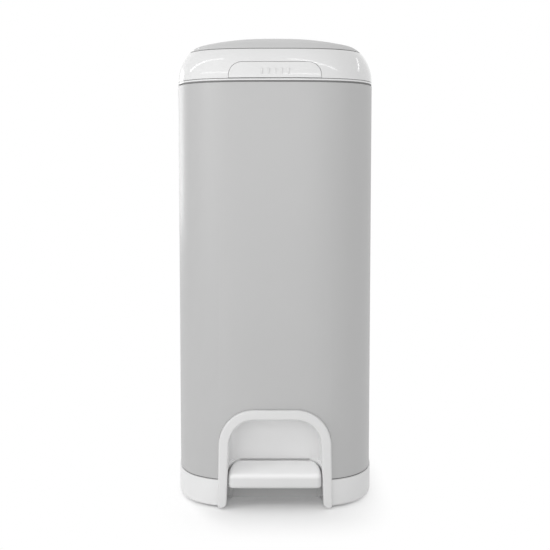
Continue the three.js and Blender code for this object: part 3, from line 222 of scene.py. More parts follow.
highlight_strip("left_arc_rear", (-2.3, 0.9, 1.35), (-2.1, 0.0, 2.15), 0.07, 24)
highlight_strip("left_arc_front", (-2.1, 0.0, 2.15), (-1.2, -1.0, 2.65), 0.07, 24)
highlight_strip("right_arc_top", (0.1, -1.5, 2.7), (0.95, -1.75, 2.35), 0.07, 22)
highlight_strip("right_arc_side", (0.95, -1.75, 2.35), (1.96, -1.45, 1.6), 0.07, 22)
highlight_strip("right_rear", (1.4, 1.2, 1.7), (2.0, 0.55, 1.25), 0.09, 10)
highlight_strip("low_left", (-2.4, -0.5, 1.25), (-1.0, -2.2, 1.35), 0.06, 14)
highlight_strip("low_right", (0.05, -2.5, 1.2), (1.1, -2.3, 1.15), 0.09, 14)
highlight_strip("left_edge", (-0.62, 0.66, 0.35), (-0.62, 0.66, 0.8), 0.26, 8.5)

# %% [markdown]
# ## Floor
# The floor keeps the soft shadow round the base. Away from the bin it blends into the white of the
# surround, so that no edge or horizon shows. The blend is a ramp in the floor's own material. It
# starts closer at the sides than in front, where the shadow falls.

# %% Floor
floor_half = 6
floor_tone = (0.84, 0.84, 0.84, 1)
fade_start = 0.16
fade_end = 0.30
fade_squeeze = 1.75
floor_lift = 0.10


def vector_maths(tree, operation, *values):
    node = add_node(tree, "ShaderNodeVectorMath", dict(enumerate(values)), operation)
    return node.outputs["Value" if operation == "LENGTH" else "Vector"]


def smooth_ramp(tree, value, low, high):
    inputs = {"Value": value, "From Min": low, "From Max": high}
    ramp = add_node(tree, "ShaderNodeMapRange", inputs)
    ramp.interpolation_type = "SMOOTHSTEP"
    return ramp.outputs["Result"]


def object_place(tree):
    return add_node(tree, "ShaderNodeTexCoord").outputs["Object"]


def make_floor():
    bpy.ops.mesh.primitive_plane_add(size=floor_half * 2, location=(0, 0, 0))
    floor = bpy.context.active_object
    floor.name = "studio_floor"
    material = bpy.data.materials.new("studio_floor")
    material.use_nodes = True
    tree = material.node_tree
    tree.nodes.clear()
    squeezed = vector_maths(tree, "MULTIPLY", object_place(tree), (fade_squeeze, 1, 0))
    squared = vector_maths(tree, "MULTIPLY", squeezed, squeezed)
    away = maths(tree, "SQRT", vector_maths(tree, "LENGTH", squared))
    faded = smooth_ramp(tree, away, fade_start, fade_end)
    matt = add_node(tree, "ShaderNodeBsdfDiffuse", {"Color": floor_tone})
    lift = add_node(tree, "ShaderNodeEmission", {"Color": white, "Strength": floor_lift})
    near = add_node(tree, "ShaderNodeAddShader", {0: matt.outputs[0], 1: lift.outputs[0]})
    far = add_node(tree, "ShaderNodeEmission", {"Strength": 1.0})
    share = maths(tree, "MULTIPLY", faded, seen_directly(tree))
    blend_surfaces(tree, share, near.outputs[0], far.outputs[0], "ShaderNodeOutputMaterial")
    floor.data.materials.append(material)


make_floor()

# %% [markdown]
# ## Finishes
# Every plastic and painted surface on a real bin has a faint grain from its mould or spray gun,
# and its tone drifts a little over a hand's breadth. Both effects are node groups, built once and
# placed in each finish with its own scale and strength. The shaders stay in the materials.

# %% Shared node groups
float_socket = "NodeSocketFloat"


def new_group(name, inputs, outputs):
    group = bpy.data.node_groups.new(name, "ShaderNodeTree")
    for label, kind, value in inputs:
        socket = group.interface.new_socket(label, in_out="INPUT", socket_type=kind)
        socket.default_value = value
    for label, kind in outputs:
        group.interface.new_socket(label, in_out="OUTPUT", socket_type=kind)
    start = group.nodes.new("NodeGroupInput")
    end = group.nodes.new("NodeGroupOutput")
    return group, start.outputs, end.inputs


def noise(tree, place, scale, detail):
    inputs = {"Vector": place, "Scale": scale, "Detail": detail}
    return add_node(tree, "ShaderNodeTexNoise", inputs).outputs["Fac"]


def mix_colors(tree, share, first, second):
    mix = tree.nodes.new("ShaderNodeMix")
    mix.data_type = "RGBA"
    for label, socket in (("Factor", share), ("A", first), ("B", second)):
        tree.links.new(socket, mix.inputs[label])
    return mix.outputs["Result"]


def build_grain_group():
    """Fine pitting of a mould or of sprayed paint, as a height and as a roughness."""
    group, given, result = new_group(
        "surface_grain",
        [
            ("Scale", float_socket, 900.0),
            ("Roughness", float_socket, 0.4),
            ("Spread", float_socket, 0.05),
        ],
        [("Height", float_socket), ("Roughness", float_socket)],
    )
    place = object_place(group)
    centred = maths(group, "SUBTRACT", noise(group, place, 14, 4), 0.5)
    rough = maths(group, "MULTIPLY_ADD", centred, given["Spread"], given["Roughness"])
    group.links.new(noise(group, place, given["Scale"], 3), result["Height"])
    group.links.new(rough, result["Roughness"])
    return group


def build_tone_group():
    """Slow drift between two close tones, as paint and plastic have."""
    group, given, result = new_group(
        "tone_drift",
        [
            ("Tone", "NodeSocketColor", (0.8, 0.8, 0.8, 1)),
            ("Second Tone", "NodeSocketColor", (0.76, 0.76, 0.76, 1)),
            ("Scale", float_socket, 9.0),
        ],
        [("Color", "NodeSocketColor")],
    )
    share = noise(group, object_place(group), given["Scale"], 5)
    mixed = mix_colors(group, share, given["Tone"], given["Second Tone"])
    group.links.new(mixed, result["Color"])
    return group


def build_brushing_group():
    """Long fine scratches round or along a metal piece."""
    group, given, result = new_group(
        "brushing",
        [("Stretch", "NodeSocketVector", (1.0, 1.0, 40.0)), ("Roughness", float_socket, 0.3)],
        [("Height", float_socket), ("Roughness", float_socket)],
    )
    stretched = vector_maths(group, "MULTIPLY", object_place(group), given["Stretch"])
    scratches = noise(group, stretched, 60, 4)
    rough = maths(group, "MULTIPLY_ADD", scratches, 0.16, given["Roughness"])
    group.links.new(scratches, result["Height"])
    group.links.new(rough, result["Roughness"])
    return group


surface_grain = build_grain_group()
tone_drift = build_tone_group()
brushing = build_brushing_group()
print("groups", surface_grain.name, tone_drift.name, brushing.name)

# %% Finish maker
finishes = {}


def set_values(node, values):
    """Sets constants on a node's own sockets. In a label, an underscore stands for a space."""
    for label, value in values.items():
        node.inputs[label.replace("_", " ")].default_value = value


def place_group(tree, group, **values):
    node = tree.nodes.new("ShaderNodeGroup")
    node.node_tree = group
    set_values(node, values)
    return node


def grey(level):
    return (level, level, level, 1)


def make_finish(name, tone, second, skin, depth, strength, **values):
    """A material with a drifting tone, and a group for its skin's roughness and height."""
    material = bpy.data.materials.new(name)
    material.use_nodes = True
    tree = material.node_tree
    shader = tree.nodes["Principled BSDF"]
    drift = place_group(tree, tone_drift, Tone=tone, Second_Tone=second)
    relief = place_group(tree, skin, **values)
    bump = add_node(tree, "ShaderNodeBump", {
        "Strength": strength, "Distance": depth, "Height": relief.outputs["Height"]})
    tree.links.new(drift.outputs["Color"], shader.inputs["Base Color"])
    tree.links.new(relief.outputs["Roughness"], shader.inputs["Roughness"])
    tree.links.new(bump.outputs["Normal"], shader.inputs["Normal"])
    finishes[name] = material
    return shader


def moulded(
        name, tone, second, roughness,
        grain=900, depth=0.02 * mm, strength=0.25, spread=0.05, **constants):
    """A plastic, paint or rubber finish. The constants go on the shader itself."""
    shader = make_finish(
        name, tone, second, surface_grain, depth, strength,
        Scale=grain, Roughness=roughness, Spread=spread)
    set_values(shader, constants)


# %% [markdown]
# The body is steel with a satin grey coat, so its shader is a grey paint with a little metal in it
# and a soft sheen. The top ring is polished white plastic: low roughness, and a clear coat value
# set on the shader itself. The base, the arch and the pedal are white with a satin skin.

# %% Finishes of the bin
moulded("body_steel", grey(0.47), grey(0.455), 0.42, grain=1400, depth=0.015 * mm,
        strength=0.12, Metallic=0.2, Specular_IOR_Level=0.25)
moulded("white_gloss", grey(0.69), grey(0.675), 0.10, grain=260, depth=0.01 * mm,
        strength=0.05, spread=0.02, Coat_Weight=0.25, Coat_Roughness=0.04)
moulded("white_satin", grey(0.65), grey(0.635), 0.38)
moulded("base_white", grey(0.69), grey(0.675), 0.38)
moulded("lid_grey", grey(0.55), grey(0.535), 0.44, grain=1100, Specular_IOR_Level=0.3)
moulded("inner_grey", grey(0.26), grey(0.24), 0.5)
moulded("foot_rubber", grey(0.03), grey(0.022), 0.8, grain=700, strength=0.4)
moulded("foot_rubber_grey", grey(0.20), grey(0.17), 0.7, grain=700)
moulded("filter_carbon", grey(0.02), grey(0.03), 0.95, grain=420, depth=0.4 * mm,
        strength=0.8, Sheen_Weight=0.4)
moulded("film", (0.38, 0.56, 0.68, 1), (0.46, 0.63, 0.73, 1), 0.32, grain=500, Coat_Weight=0.3)
metal = make_finish(
    "bright_metal", grey(0.62), grey(0.5), brushing, 0.01 * mm, 0.2,
    Stretch=(1.0, 1.0, 30.0), Roughness=0.24)
metal.inputs["Metallic"].default_value = 1


def with_painted_light(name, start, tone, *masks):
    """A copy of a finish with painted light: it turns paler where every mask's coordinate goes from
    low to high.
    """
    material = start.copy()
    material.name = name
    tree = material.node_tree
    place = add_node(tree, "ShaderNodeTexCoord").outputs
    share = None
    for output, axis, low, high in masks:
        parts = add_node(tree, "ShaderNodeSeparateXYZ", {0: place[output]})
        ramp = smooth_ramp(tree, parts.outputs[axis], low, high)
        share = maths(tree, "MULTIPLY", share, ramp) if share else ramp
    color = tree.nodes["Principled BSDF"].inputs["Base Color"]
    second = place_group(tree, tone_drift, Tone=grey(tone), Second_Tone=grey(tone - 0.02))
    mixed = mix_colors(tree, share, color.links[0].from_socket, second.outputs["Color"])
    tree.links.new(mixed, color)
    return material


for row in frame["record"]["subparts"]:
    slots = frame["nodes"][row["node"]].data.materials
    slots.clear()
    slots.append(finishes[row["material_slot"]])
print("finishes", sorted(finishes))

# %% [markdown]
# ## Two ways to make a surface
# The bin is a rounded square seen from above, between a circle and a square. Its outline is the
# curve |x|^n + |y|^n = 1 with n a little over 3, so one function can spin any profile round it,
# just as a lathe spins a profile round a circle. The second way, a loft, joins rings of points.
#
# No moulded or pressed edge is knife sharp. A profile's corners are rounded before it is spun,
# with a short curve that starts and ends on the two straight sides.

# %% Outlines and rounding
body_low, body_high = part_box("body_shell")
half_width = body_high[0]
half_depth = body_high[1]
squareness = 3.07


def rounded_square(turn):
    x, y = math.cos(turn), math.sin(turn)
    reach = (abs(x) ** squareness + abs(y) ** squareness) ** (-1 / squareness)
    return reach * x, reach * y * half_depth / half_width


def circle(turn):
    return math.cos(turn), math.sin(turn)


def rounded(profile, radius, steps=3):
    """Rounds a profile's corners. A point's third number, if it has one, is its own radius."""
    closed = profile[0][0] > 0
    result = []
    count = len(profile)
    for i, point in enumerate(profile):
        here = Vector(point[:2])
        if not closed and i in (0, count - 1):
            result.append(tuple(here))
            continue
        own = point[2] if len(point) > 2 else radius
        before = Vector(profile[i - 1][:2]) - here
        after = Vector(profile[(i + 1) % count][:2]) - here
        reach = min(own, before.length * 0.45, after.length * 0.45)
        if reach <= 0.01 * mm or before.angle(after, math.pi) > math.radians(165):
            result.append(tuple(here))
            continue
        start = here + before.normalized() * reach
        end = here + after.normalized() * reach
        for k in range(steps + 1):
            t = k / steps
            result.append(tuple(start * (1 - t) ** 2 + here * 2 * t * (1 - t) + end * t * t))
    return result


# %% Spinning and lofting
spin_steps = 160


def add_piece(name, mesh):
    piece = bpy.data.objects.new(name, mesh)
    scene.collection.objects.link(piece)
    return piece


def make_piece(name, points, faces):
    mesh = bpy.data.meshes.new(name)
    mesh.from_pydata(points, [], faces)
    shape = bmesh.new()
    shape.from_mesh(mesh)
    bmesh.ops.remove_doubles(shape, verts=shape.verts, dist=0.001 * mm)
    bmesh.ops.recalc_face_normals(shape, faces=shape.faces)
    shape.to_mesh(mesh)
    shape.free()
    return add_piece(name, mesh)


def join_rings(rings, closed):
    """Faces between neighbouring rings of point numbers."""
    faces = []
    pairs = list(zip(rings, rings[1:]))
    if closed:
        pairs.append((rings[-1], rings[0]))
    for low, high in pairs:
        for i in range(len(low)):
            k = (i + 1) % len(low)
            face = list(dict.fromkeys((low[i], low[k], high[k], high[i])))
            if len(face) > 2:
                faces.append(face)
    return faces


def spin(name, profile, edge, outline=rounded_square, steps=spin_steps):
    """Spins a profile of (half width, height). One that misses the axis closes on itself."""
    points = []
    rings = []
    for half, height in rounded(profile, edge):
        if half == 0:
            rings.append([len(points)] * steps)
            points.append((0, 0, height))
            continue
        first = len(points)
        for i in range(steps):
            x, y = outline(math.tau * i / steps)
            points.append((x * half, y * half, height))
        rings.append(list(range(first, first + steps)))
    return make_piece(name, points, join_rings(rings, profile[0][0] > 0))


def band(name, inner, outer, low, high, edge, *shape):
    """Spins a rectangle."""
    profile = [(inner, low), (outer, low), (outer, high), (inner, high)]
    return spin(name, profile, edge, *shape)


def loft(name, rings_of_points):
    """Joins rings of points, each with as many points, and closes both ends."""
    points = []
    rings = []
    for ring in rings_of_points:
        rings.append(list(range(len(points), len(points) + len(ring))))
        points.extend(ring)
    faces = join_rings(rings, False)
    faces.append(list(reversed(rings[0])))
    faces.append(rings[-1])
    return make_piece(name, points, faces)


def block(low, high):
    corners = [(low[0], low[1]), (high[0], low[1]), (high[0], high[1]), (low[0], high[1])]
    return loft("block", [[(x, y, z) for x, y in corners] for z in (low[2], high[2])])


def bar(radius, start, end, steps=32):
    """A round bar between two points."""
    start, end = Vector(start), Vector(end)
    turn = (end - start).to_track_quat("Z", "Y").to_matrix()
    ring = [Vector((*circle(math.tau * i / steps), 0)) * radius for i in range(steps)]
    return loft("bar", [[middle + turn @ point for point in ring] for middle in (start, end)])


def cross_bar(radius, left, right, axis):
    """A bar from left to right on a hinge's axis."""
    return bar(radius, (left, *axis.yz), (right, *axis.yz))


# %% [markdown]
# Holes and cuts come after, as booleans, and a bevel rounds the edges that those leave. A finished
# piece is then shaded, given its finish, and set in the frame on the body that carries it.

# %% Cutting and shading


def settle_modifiers(piece):
    bpy.context.view_layer.update()
    graph = bpy.context.evaluated_depsgraph_get()
    mesh = bpy.data.meshes.new_from_object(piece.evaluated_get(graph))
    piece.modifiers.clear()
    piece.data = mesh
    return piece


def combine(piece, others, operation):
    for other in others:
        step = piece.modifiers.new("combine", "BOOLEAN")
        step.operation = operation
        step.solver = "EXACT"
        step.object = other
        settle_modifiers(piece)
        bpy.data.objects.remove(other)
    return piece


def carve(piece, *cutters):
    return combine(piece, cutters, "DIFFERENCE")


def fuse(piece, *others):
    return combine(piece, others, "UNION")


def keep_inside(piece, other):
    return combine(piece, [other], "INTERSECT")


def soften(piece, width, segments=2):
    bevel = piece.modifiers.new("soften", "BEVEL")
    bevel.width = width
    bevel.segments = segments
    bevel.limit_method = "ANGLE"
    bevel.angle_limit = math.radians(40)
    return settle_modifiers(piece)


def dress(piece, body, slot, *nodes, angle=35, finish=None):
    """Shades the piece, gives it its finish and sets it in the frame."""
    piece.data.materials.clear()
    piece.data.materials.append(finish or finishes[slot])
    piece.data.shade_smooth()
    piece.data.set_sharp_from_angle(angle=math.radians(angle))
    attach(piece, body)
    if nodes:
        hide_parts(*nodes)
    print(piece.name, len(piece.data.polygons), "faces for", ", ".join(nodes) or "itself")
    return piece


# %% [markdown]
# ## Arch outline
# The pedal sits under an arch with upright legs and two big round corners. The same outline, grown
# or shrunk, cuts the body and the base and shapes the niche, so it is one function. Its points run
# from the left foot over the top to the right foot.

# %% Arch outline
fit_gap = 0.3 * mm
arch_half = 78 * mm
arch_top = 141.1 * mm
arch_corner = 50 * mm
arch_band = 13.7 * mm
arch_splay = 2 * mm
niche_splay = 3.2 * mm
toe_round = 3 * mm
arch_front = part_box("pedal_surround")[0].y
arch_bow = 900 * mm
overrun = 5 * mm


def arc(centre_x, centre_z, radius, start, end, steps):
    turns = [math.radians(start + (end - start) * i / steps) for i in range(steps + 1)]
    return [(centre_x + radius * math.cos(t), centre_z + radius * math.sin(t)) for t in turns]


def arch_line(half, top, corner, foot, splay=0.0, flare=0.0, toe=0.0):
    """Left foot, left corner, top, right corner, right foot. The legs may splay downwards. A
    flare rolls the feet outwards and a toe rounds their outer corners."""
    low = half + splay * (1 - foot / (top - corner))
    right = arc(half - corner, top - corner, corner, 90, 0, 20)
    if flare > 0:
        right += arc(low + flare, foot + flare, flare, 180, 270, 8)
        right.append((low + flare, foot - overrun))
    elif toe > 0:
        right += arc(low - toe, foot + toe, toe, 0, -90, 5)
    else:
        right.append((low, foot))
    middle = [(x / 6 * (half - corner), top) for x in range(-5, 6)]
    left = [(-x, z) for x, z in reversed(right)]
    return left + middle + right


def arch_ring(grow, y, foot, bowed=1.0, flare=0.0, toe=0.0):
    inner_share = min(1, max(0, -grow / arch_band))
    splay = arch_splay + (niche_splay - arch_splay) * inner_share
    line = arch_line(
        arch_half + grow, arch_top + grow, arch_corner + grow, foot, splay, flare, toe)
    return [(x, y + bowed * x * x / (2 * arch_bow), z) for x, z in line]


def arch_cutter(foot):
    return loft("arch_cutter", [arch_ring(fit_gap, y, foot, 0) for y in (-half_depth * 2, 0)])


print("arch front", round(arch_front / mm, 1), "mm from the middle")

# %% [markdown]
# ## Steel sleeve
# The body is one sheet rolled into a rounded square. It is a thin wall spun round the outline,
# with softened top and bottom edges, and the arch's outline is cut out of its front.

# %% Steel sleeve
steel_wall = 1 * mm
shell_bottom, shell_top = body_low[2], body_high[2]
sleeve = band(
    "steel_sleeve", half_width - steel_wall, half_width, shell_bottom, shell_top, 0.4 * mm)
carve(sleeve, arch_cutter(-overrun))
dress(sleeve, "base", "body_steel", "body_shell")

# %% [markdown]
# ## White base
# The base ring stands a little proud of the steel and rounds in at the floor. Inside, an upstand
# centres the sleeve, and four posts take the screws of the base plate. Both are out of sight when
# the bin stands, but they show when it lies on its side with the plate off.

# %% White base
skirt_low, skirt_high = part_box("base_skirt")
skirt_outer = skirt_high[0]
skirt_wall = 3 * mm
skirt_round = 3.6 * mm
skirt_seam = 1 * mm
skirt_top = shell_bottom - fit_gap - skirt_seam
rim_height = skirt_low[2]
upstand_top = skirt_high[2]
upstand_wall = 2.6 * mm
# The dark grey strips in the joints are painted shade. These set how far in they sit and their
# play.
shade_strip_inset = 0.6 * mm
shade_strip_play = 0.05 * mm
boss_share = 0.765
boss_radius = 6.5 * mm
boss_bottom = 8.3 * mm
boss_top = 34 * mm
screw_hole = 1.9 * mm


def corners(share):
    """Four places at a share of the half width and the half depth."""
    x, y = half_width * share, half_depth * share
    return [(-x, -y), (x, -y), (x, y), (-x, y)]


def make_base_ring():
    inner = skirt_outer - skirt_wall
    upstand = half_width - steel_wall - fit_gap
    profile = [(inner, rim_height, 0.5 * mm)]
    for i in range(7):
        turn = i / 6 * math.pi / 2
        inset = 1.5 * mm * (1 - math.sin(turn))
        profile.append((skirt_outer - inset, rim_height + skirt_round * (1 - math.cos(turn)), 0))
    profile += [
        (skirt_outer, skirt_top, 0.8 * mm),
        (upstand, skirt_top, 0.2 * mm),
        (upstand, upstand_top, 0.6 * mm),
        (upstand - upstand_wall, upstand_top, 0.6 * mm),
        (upstand - upstand_wall, skirt_top - upstand_wall, 0.5 * mm),
        (inner, skirt_top - upstand_wall * 2, 0.5 * mm),
    ]
    base = spin("base_ring", profile, 0.5 * mm)
    carve(base, arch_cutter(-overrun * 2))
    for x, y in corners(boss_share):
        post = bar(boss_radius, (x, y, boss_bottom), (x, y, boss_top))
        fuse(base, carve(post, bar(screw_hole, (x, y, 0), (x, y, boss_top - overrun))))
    dress(base, "base", "white_satin", "base_skirt", finish=finishes["base_white"])
    # Painted shade: a dark grey strip fills the joint between the base and the steel, so that the
    # joint reads as a dark line.
    seal = band(
        "base_seal", upstand + shade_strip_play, half_width - shade_strip_inset,
        skirt_top + shade_strip_play, shell_bottom - shade_strip_play, 0.2 * mm)
    carve(seal, arch_cutter(-overrun * 2))
    dress(seal, "base", "foot_rubber_grey")


make_base_ring()

# %% [markdown]
# ## Pedal outline
# The pedal's plan is needed first, because the niche's ledges follow it. Its front corners are
# tight, and its sides curve in slowly towards the rear, so that it clears the niche as it swings.

# %% Pedal outline
pedal_low, pedal_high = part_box("pedal_pad")
pedal_half = pedal_high[0]
pedal_front, pedal_back = pedal_low[1], pedal_high[1]
pedal_under = pedal_low[2] - 1.3 * mm
pedal_top = pedal_low[2] + 18 * mm
pedal_lean = 8.5 * mm
pedal_rear_across = 17 * mm
pedal_rear_along = 38 * mm
pedal_front_corner = 8 * mm
pedal_gap = 1.5 * mm
pedal_edge = 7 * mm
pedal_foot_edge = 4 * mm
pedal_wall = 3 * mm


def plan_ring(inset, height, lean=0.0):
    """The pedal's outline seen from above, as a ring at one height."""
    across, along = pedal_rear_across - inset, pedal_rear_along - inset
    near = pedal_front_corner - inset
    half = pedal_half - inset
    front = pedal_front + inset
    back = pedal_back - inset
    ring = []
    for x, y in arc(0, 0, 1, 0, 90, 14):
        ring.append((half - across + across * x, back - along + along * y))
    ring += [(-x, y) for x, y in reversed(ring)]
    ring += arc(near - half, front + near, near, 180, 270, 10)
    ring += arc(half - near, front + near, near, 270, 360, 10)
    raised = []
    for x, y in ring:
        share = (y - pedal_front) / (pedal_back - pedal_front)
        raised.append((x, y, height + lean * share))
    return raised


# %% [markdown]
# ## Arch and niche
# The arch and the niche behind it are one moulding. The arch's front is gently bowed, its outer
# edge is rounded, and its inner edge rolls into the niche. The niche is carved with a cutter whose
# rings shrink towards the back, which rounds the corner between its walls and its rear face.

# %% Arch and niche
arch_depth = 17 * mm
arch_edge = 2.5 * mm
inner_edge = 2.4 * mm
niche_back = arch_front + 61 * mm
niche_wall = 2.6 * mm
niche_corner = 10 * mm
foot_round = 6.5 * mm
pocket_depth = 4 * mm
pocket_foot = 1 * mm
ledge_height = 54 * mm
ledge_rise = 3.4 * mm
pocket_rise = 4.4 * mm
arm_slot_half = 11.9 * mm
arm_slot_bottom = 14 * mm
arm_slot_top = 41 * mm


def quarter(steps=6):
    """Pairs that go from (0, 1) to (1, 0) on a quarter circle."""
    turns = [i / steps * math.pi / 2 for i in range(steps + 1)]
    return [(math.sin(t), math.cos(t)) for t in turns]


def niche_rings(grow, front_flare, front, back, foot, flare):
    """Rings of the niche from the front to the rear face, grown by a wall where asked."""
    rings = []
    inner = grow - arch_band
    if front_flare > 0:
        rings.append(arch_ring(inner + front_flare, front - overrun, foot, 1, flare))
        for across, along in quarter():
            share = front_flare * (1 - across)
            y = front + front_flare * (1 - along)
            rings.append(arch_ring(inner + share, y, foot, 1, flare))
    else:
        rings.append(arch_ring(inner, front, foot, 1, flare))
    rings.append(arch_ring(inner, arch_front + arch_depth, foot, 0.4, flare))
    reach = niche_corner + grow
    for across, along in quarter(10):
        y = back - reach * (1 - across)
        rings.append(arch_ring(inner - reach * (1 - along), y, foot, 0, flare))
    return rings


def make_ledges():
    """Two ledges that fill the niche's corners beside the pedal, and slope as its top does."""
    near, far = niche_back - pedal_rear_along, niche_back + niche_wall / 2
    high = ledge_height + ledge_rise
    low = high - pedal_lean * (far - near) / (pedal_back - pedal_front)
    side = [(near, low), (far, high), (far, ledge_height - niche_wall), (near, low - niche_wall)]
    level = loft("ledges", [[(x, y, z) for y, z in side] for x in (-arch_half, arch_half)])
    keep_inside(level, loft("niche_room", niche_rings(
        niche_wall / 2, 0, arch_front, niche_back + niche_wall / 2, rim_height, 0)))
    carve(level, loft("pedal_room", [plan_ring(-pedal_gap, z) for z in (0, arch_top)]))
    return level


def make_arch():
    rings = []
    for inset in (arch_band + overrun, arch_band, arch_band * 0.7, arch_edge * 1.6):
        rings.append(arch_ring(-inset, arch_front, rim_height, toe=toe_round))
    for across, along in quarter():
        front = arch_front + arch_edge * (1 - along)
        rings.append(arch_ring(-arch_edge * (1 - across), front, rim_height, toe=toe_round))
    rings.append(arch_ring(0, arch_front + arch_depth, rim_height, toe=toe_round))
    arch = loft("arch_surround", rings)
    outside = loft("niche_outside", niche_rings(
        niche_wall, 0, arch_front + arch_depth / 2, niche_back + niche_wall, rim_height, 0))
    inside = loft("niche_inside", niche_rings(
        0, inner_edge, arch_front, niche_back, rim_height, foot_round))
    half = arch_half - arch_band - niche_wall
    top = ledge_height - niche_wall
    back = niche_back + pocket_depth
    front = niche_back - niche_corner
    pocket_shell = block(
        (-half - niche_wall, front, pocket_foot),
        (half + niche_wall, back + niche_wall, ledge_height + pocket_rise + niche_wall),
    )
    pocket = block((-half, front - overrun, -overrun), (half, back, top))
    straight = pedal_half - pedal_rear_across + pedal_gap
    dark_line = block(
        (-straight, niche_back - pedal_gap, top - overrun),
        (straight, back, ledge_height + pocket_rise),
    )
    arm_slot = block(
        (-arm_slot_half, back - overrun, arm_slot_bottom),
        (arm_slot_half, back + niche_wall + overrun, arm_slot_top),
    )
    fuse(arch, outside, pocket_shell)
    carve(arch, inside)
    fuse(arch, make_ledges())
    carve(arch, soften(pocket, 1.5 * mm, 3), soften(arm_slot, 1 * mm), dark_line)
    # Painted light: inside the niche the white turns paler than the arch's face, where the arch
    # shades it. Below the pedal the niche keeps the darker tone, as painted shade under the pedal.
    # The upward faces of the ledges turn paler still, a painted highlight.
    inside_niche = ("Object", "Y", arch_front + arch_edge, arch_front + arch_edge * 5)
    above_floor = ("Object", "Z", 28 * mm, 40 * mm)
    on_ledges = ("Object", "Z", 48 * mm, 51 * mm)
    facing_up = ("Normal", "Z", 0.6, 0.9)
    niche_white = with_painted_light(
        "niche_white", finishes["white_satin"], 0.82, inside_niche, above_floor)
    niche_white = with_painted_light(
        "niche_and_ledges", niche_white, 0.97, inside_niche, on_ledges, facing_up)
    dress(arch, "base", "white_satin", "pedal_surround", finish=niche_white)


make_arch()

# %% [markdown]
# ## Pedal
# The pedal is a shallow upside-down tray. Its top leans towards the foot and all of its edges are
# rounded. Two posts under the top take the screws that hold it to the lever's plate.

# %% Pedal
pedal_post_x = 34 * mm
pedal_post_radius = 3.9 * mm
pedal_post_low = pedal_under + 9.7 * mm


def make_pedal():
    outside = []
    for across, along in quarter(6):
        low = pedal_under + pedal_foot_edge * (1 - along)
        outside.append(plan_ring(pedal_foot_edge * (1 - across), low))
    for along, across in reversed(quarter(8)):
        height = pedal_top - pedal_edge * (1 - across)
        outside.append(plan_ring(pedal_edge * (1 - along), height, pedal_lean))
    pedal = loft("foot_pedal", outside)
    inside = loft("pedal_inside", [
        plan_ring(pedal_wall, pedal_under - overrun),
        plan_ring(pedal_wall, pedal_top - pedal_wall, pedal_lean),
    ])
    carve(pedal, inside)
    middle = (pedal_front + pedal_back) / 2
    for x in (-pedal_post_x, pedal_post_x):
        fuse(pedal, bar(pedal_post_radius, (x, middle, pedal_post_low), (x, middle, pedal_top)))
    arm_pass = block(
        (-arm_slot_half, pedal_back - pedal_wall * 2, pedal_under - overrun),
        (arm_slot_half, pedal_back + overrun, pedal_post_low),
    )
    carve(pedal, soften(arm_pass, 1 * mm))
    # Painted light: the pedal's top and other upward faces turn paler than its front.
    pedal_white = with_painted_light("pedal_white", finishes["white_satin"], 0.93, ("Normal", "Z", 0.1, 1))
    dress(pedal, "pedal", "white_satin", "pedal_pad", finish=pedal_white)


make_pedal()

# %% [markdown]
# ## Shoulder line
# The top of the bin is one smooth curve from the upright side to the middle of the lid: a quarter
# ellipse for the shoulder and a flat crown over it. The ring and the lid share this line, so the
# seam between them can be cut anywhere along it.

# %% Shoulder line


def joint_place(name):
    return Vector(next(joint["pos_m"] for joint in frame["joints"] if joint["name"] == name))


housing_axis = joint_place("top_housing_hinge")
lid_axis = joint_place("lid_hinge")
tab_axis = joint_place("latch_tab_hinge")
axis_depth = 2 * mm
band_top = housing_axis.z + axis_depth
housing_seam = 0.9 * mm
ring_bottom = band_top + housing_seam
shoulder_start = ring_bottom + 1.2 * mm
shoulder_width = 30 * mm
shoulder_height = 40 * mm
crown_height = 24 * mm
ring_width = 16 * mm
edge_inset = 14.9 * mm
lid_seam = 1.2 * mm
lid_lip = 0.6 * mm
lid_undercut = 1.2 * mm


def crown(inset):
    inward = 1 - inset / half_width
    return crown_height * (1 - inward * inward)


def shoulder_point(turn, depth=0.0):
    inset = depth + (shoulder_width - depth) * (1 - math.cos(turn))
    rise = (shoulder_height - depth) * math.sin(turn)
    return half_width - inset, shoulder_start + rise + crown(inset)


def turn_at(inset):
    return math.acos(1 - inset / shoulder_width)


seat_drop = 14 * mm
deck_drop = 9.4 * mm
ring_top = shoulder_point(turn_at(ring_width))[1]
seat_radius = half_width - ring_width
seat_floor = ring_top - seat_drop
deck_top = seat_floor - deck_drop - fit_gap
print("ring top", round(ring_top / mm, 2), "lid axis", tuple(lid_axis))

# %% [markdown]
# ## Collar
# A thin white band sits over the steel's rim and carries the rear hinge. Only its edge shows under
# the top ring, as a bright line. A dark grey strip fills the joint below it, set in a little: it is
# painted shade, put where the joint is in shadow, so that the joint reads as a dark line. The same
# strip stands in for the shade in the joint above the base.

# %% Collar
band_bottom = shell_top + fit_gap
collar_drop = 26 * mm
collar_wall = 3 * mm
neck_height = 2.1 * mm
band_rise = 0.3 * mm
barrel_radius = 4 * mm
pin_radius = 1.7 * mm
knuckle_half = 12 * mm
collar_knuckle = 24 * mm
bore_reach = 60 * mm


def both_sides(near, far):
    """One stretch to the left of the middle and one to the right, each from low to high."""
    return (-far, -near), (near, far)


def bore(radius, reach, axis):
    """The cutter of a hole that a pin turns in."""
    return cross_bar(radius + fit_gap, -reach, reach, axis)


def hinge_barrel(left, right, axis, front, low, high):
    """A knuckle round a hinge pin, with the web that holds it."""
    barrel = cross_bar(barrel_radius, left, right, axis)
    return fuse(barrel, block((left, front, low), (right, axis.y, high)))


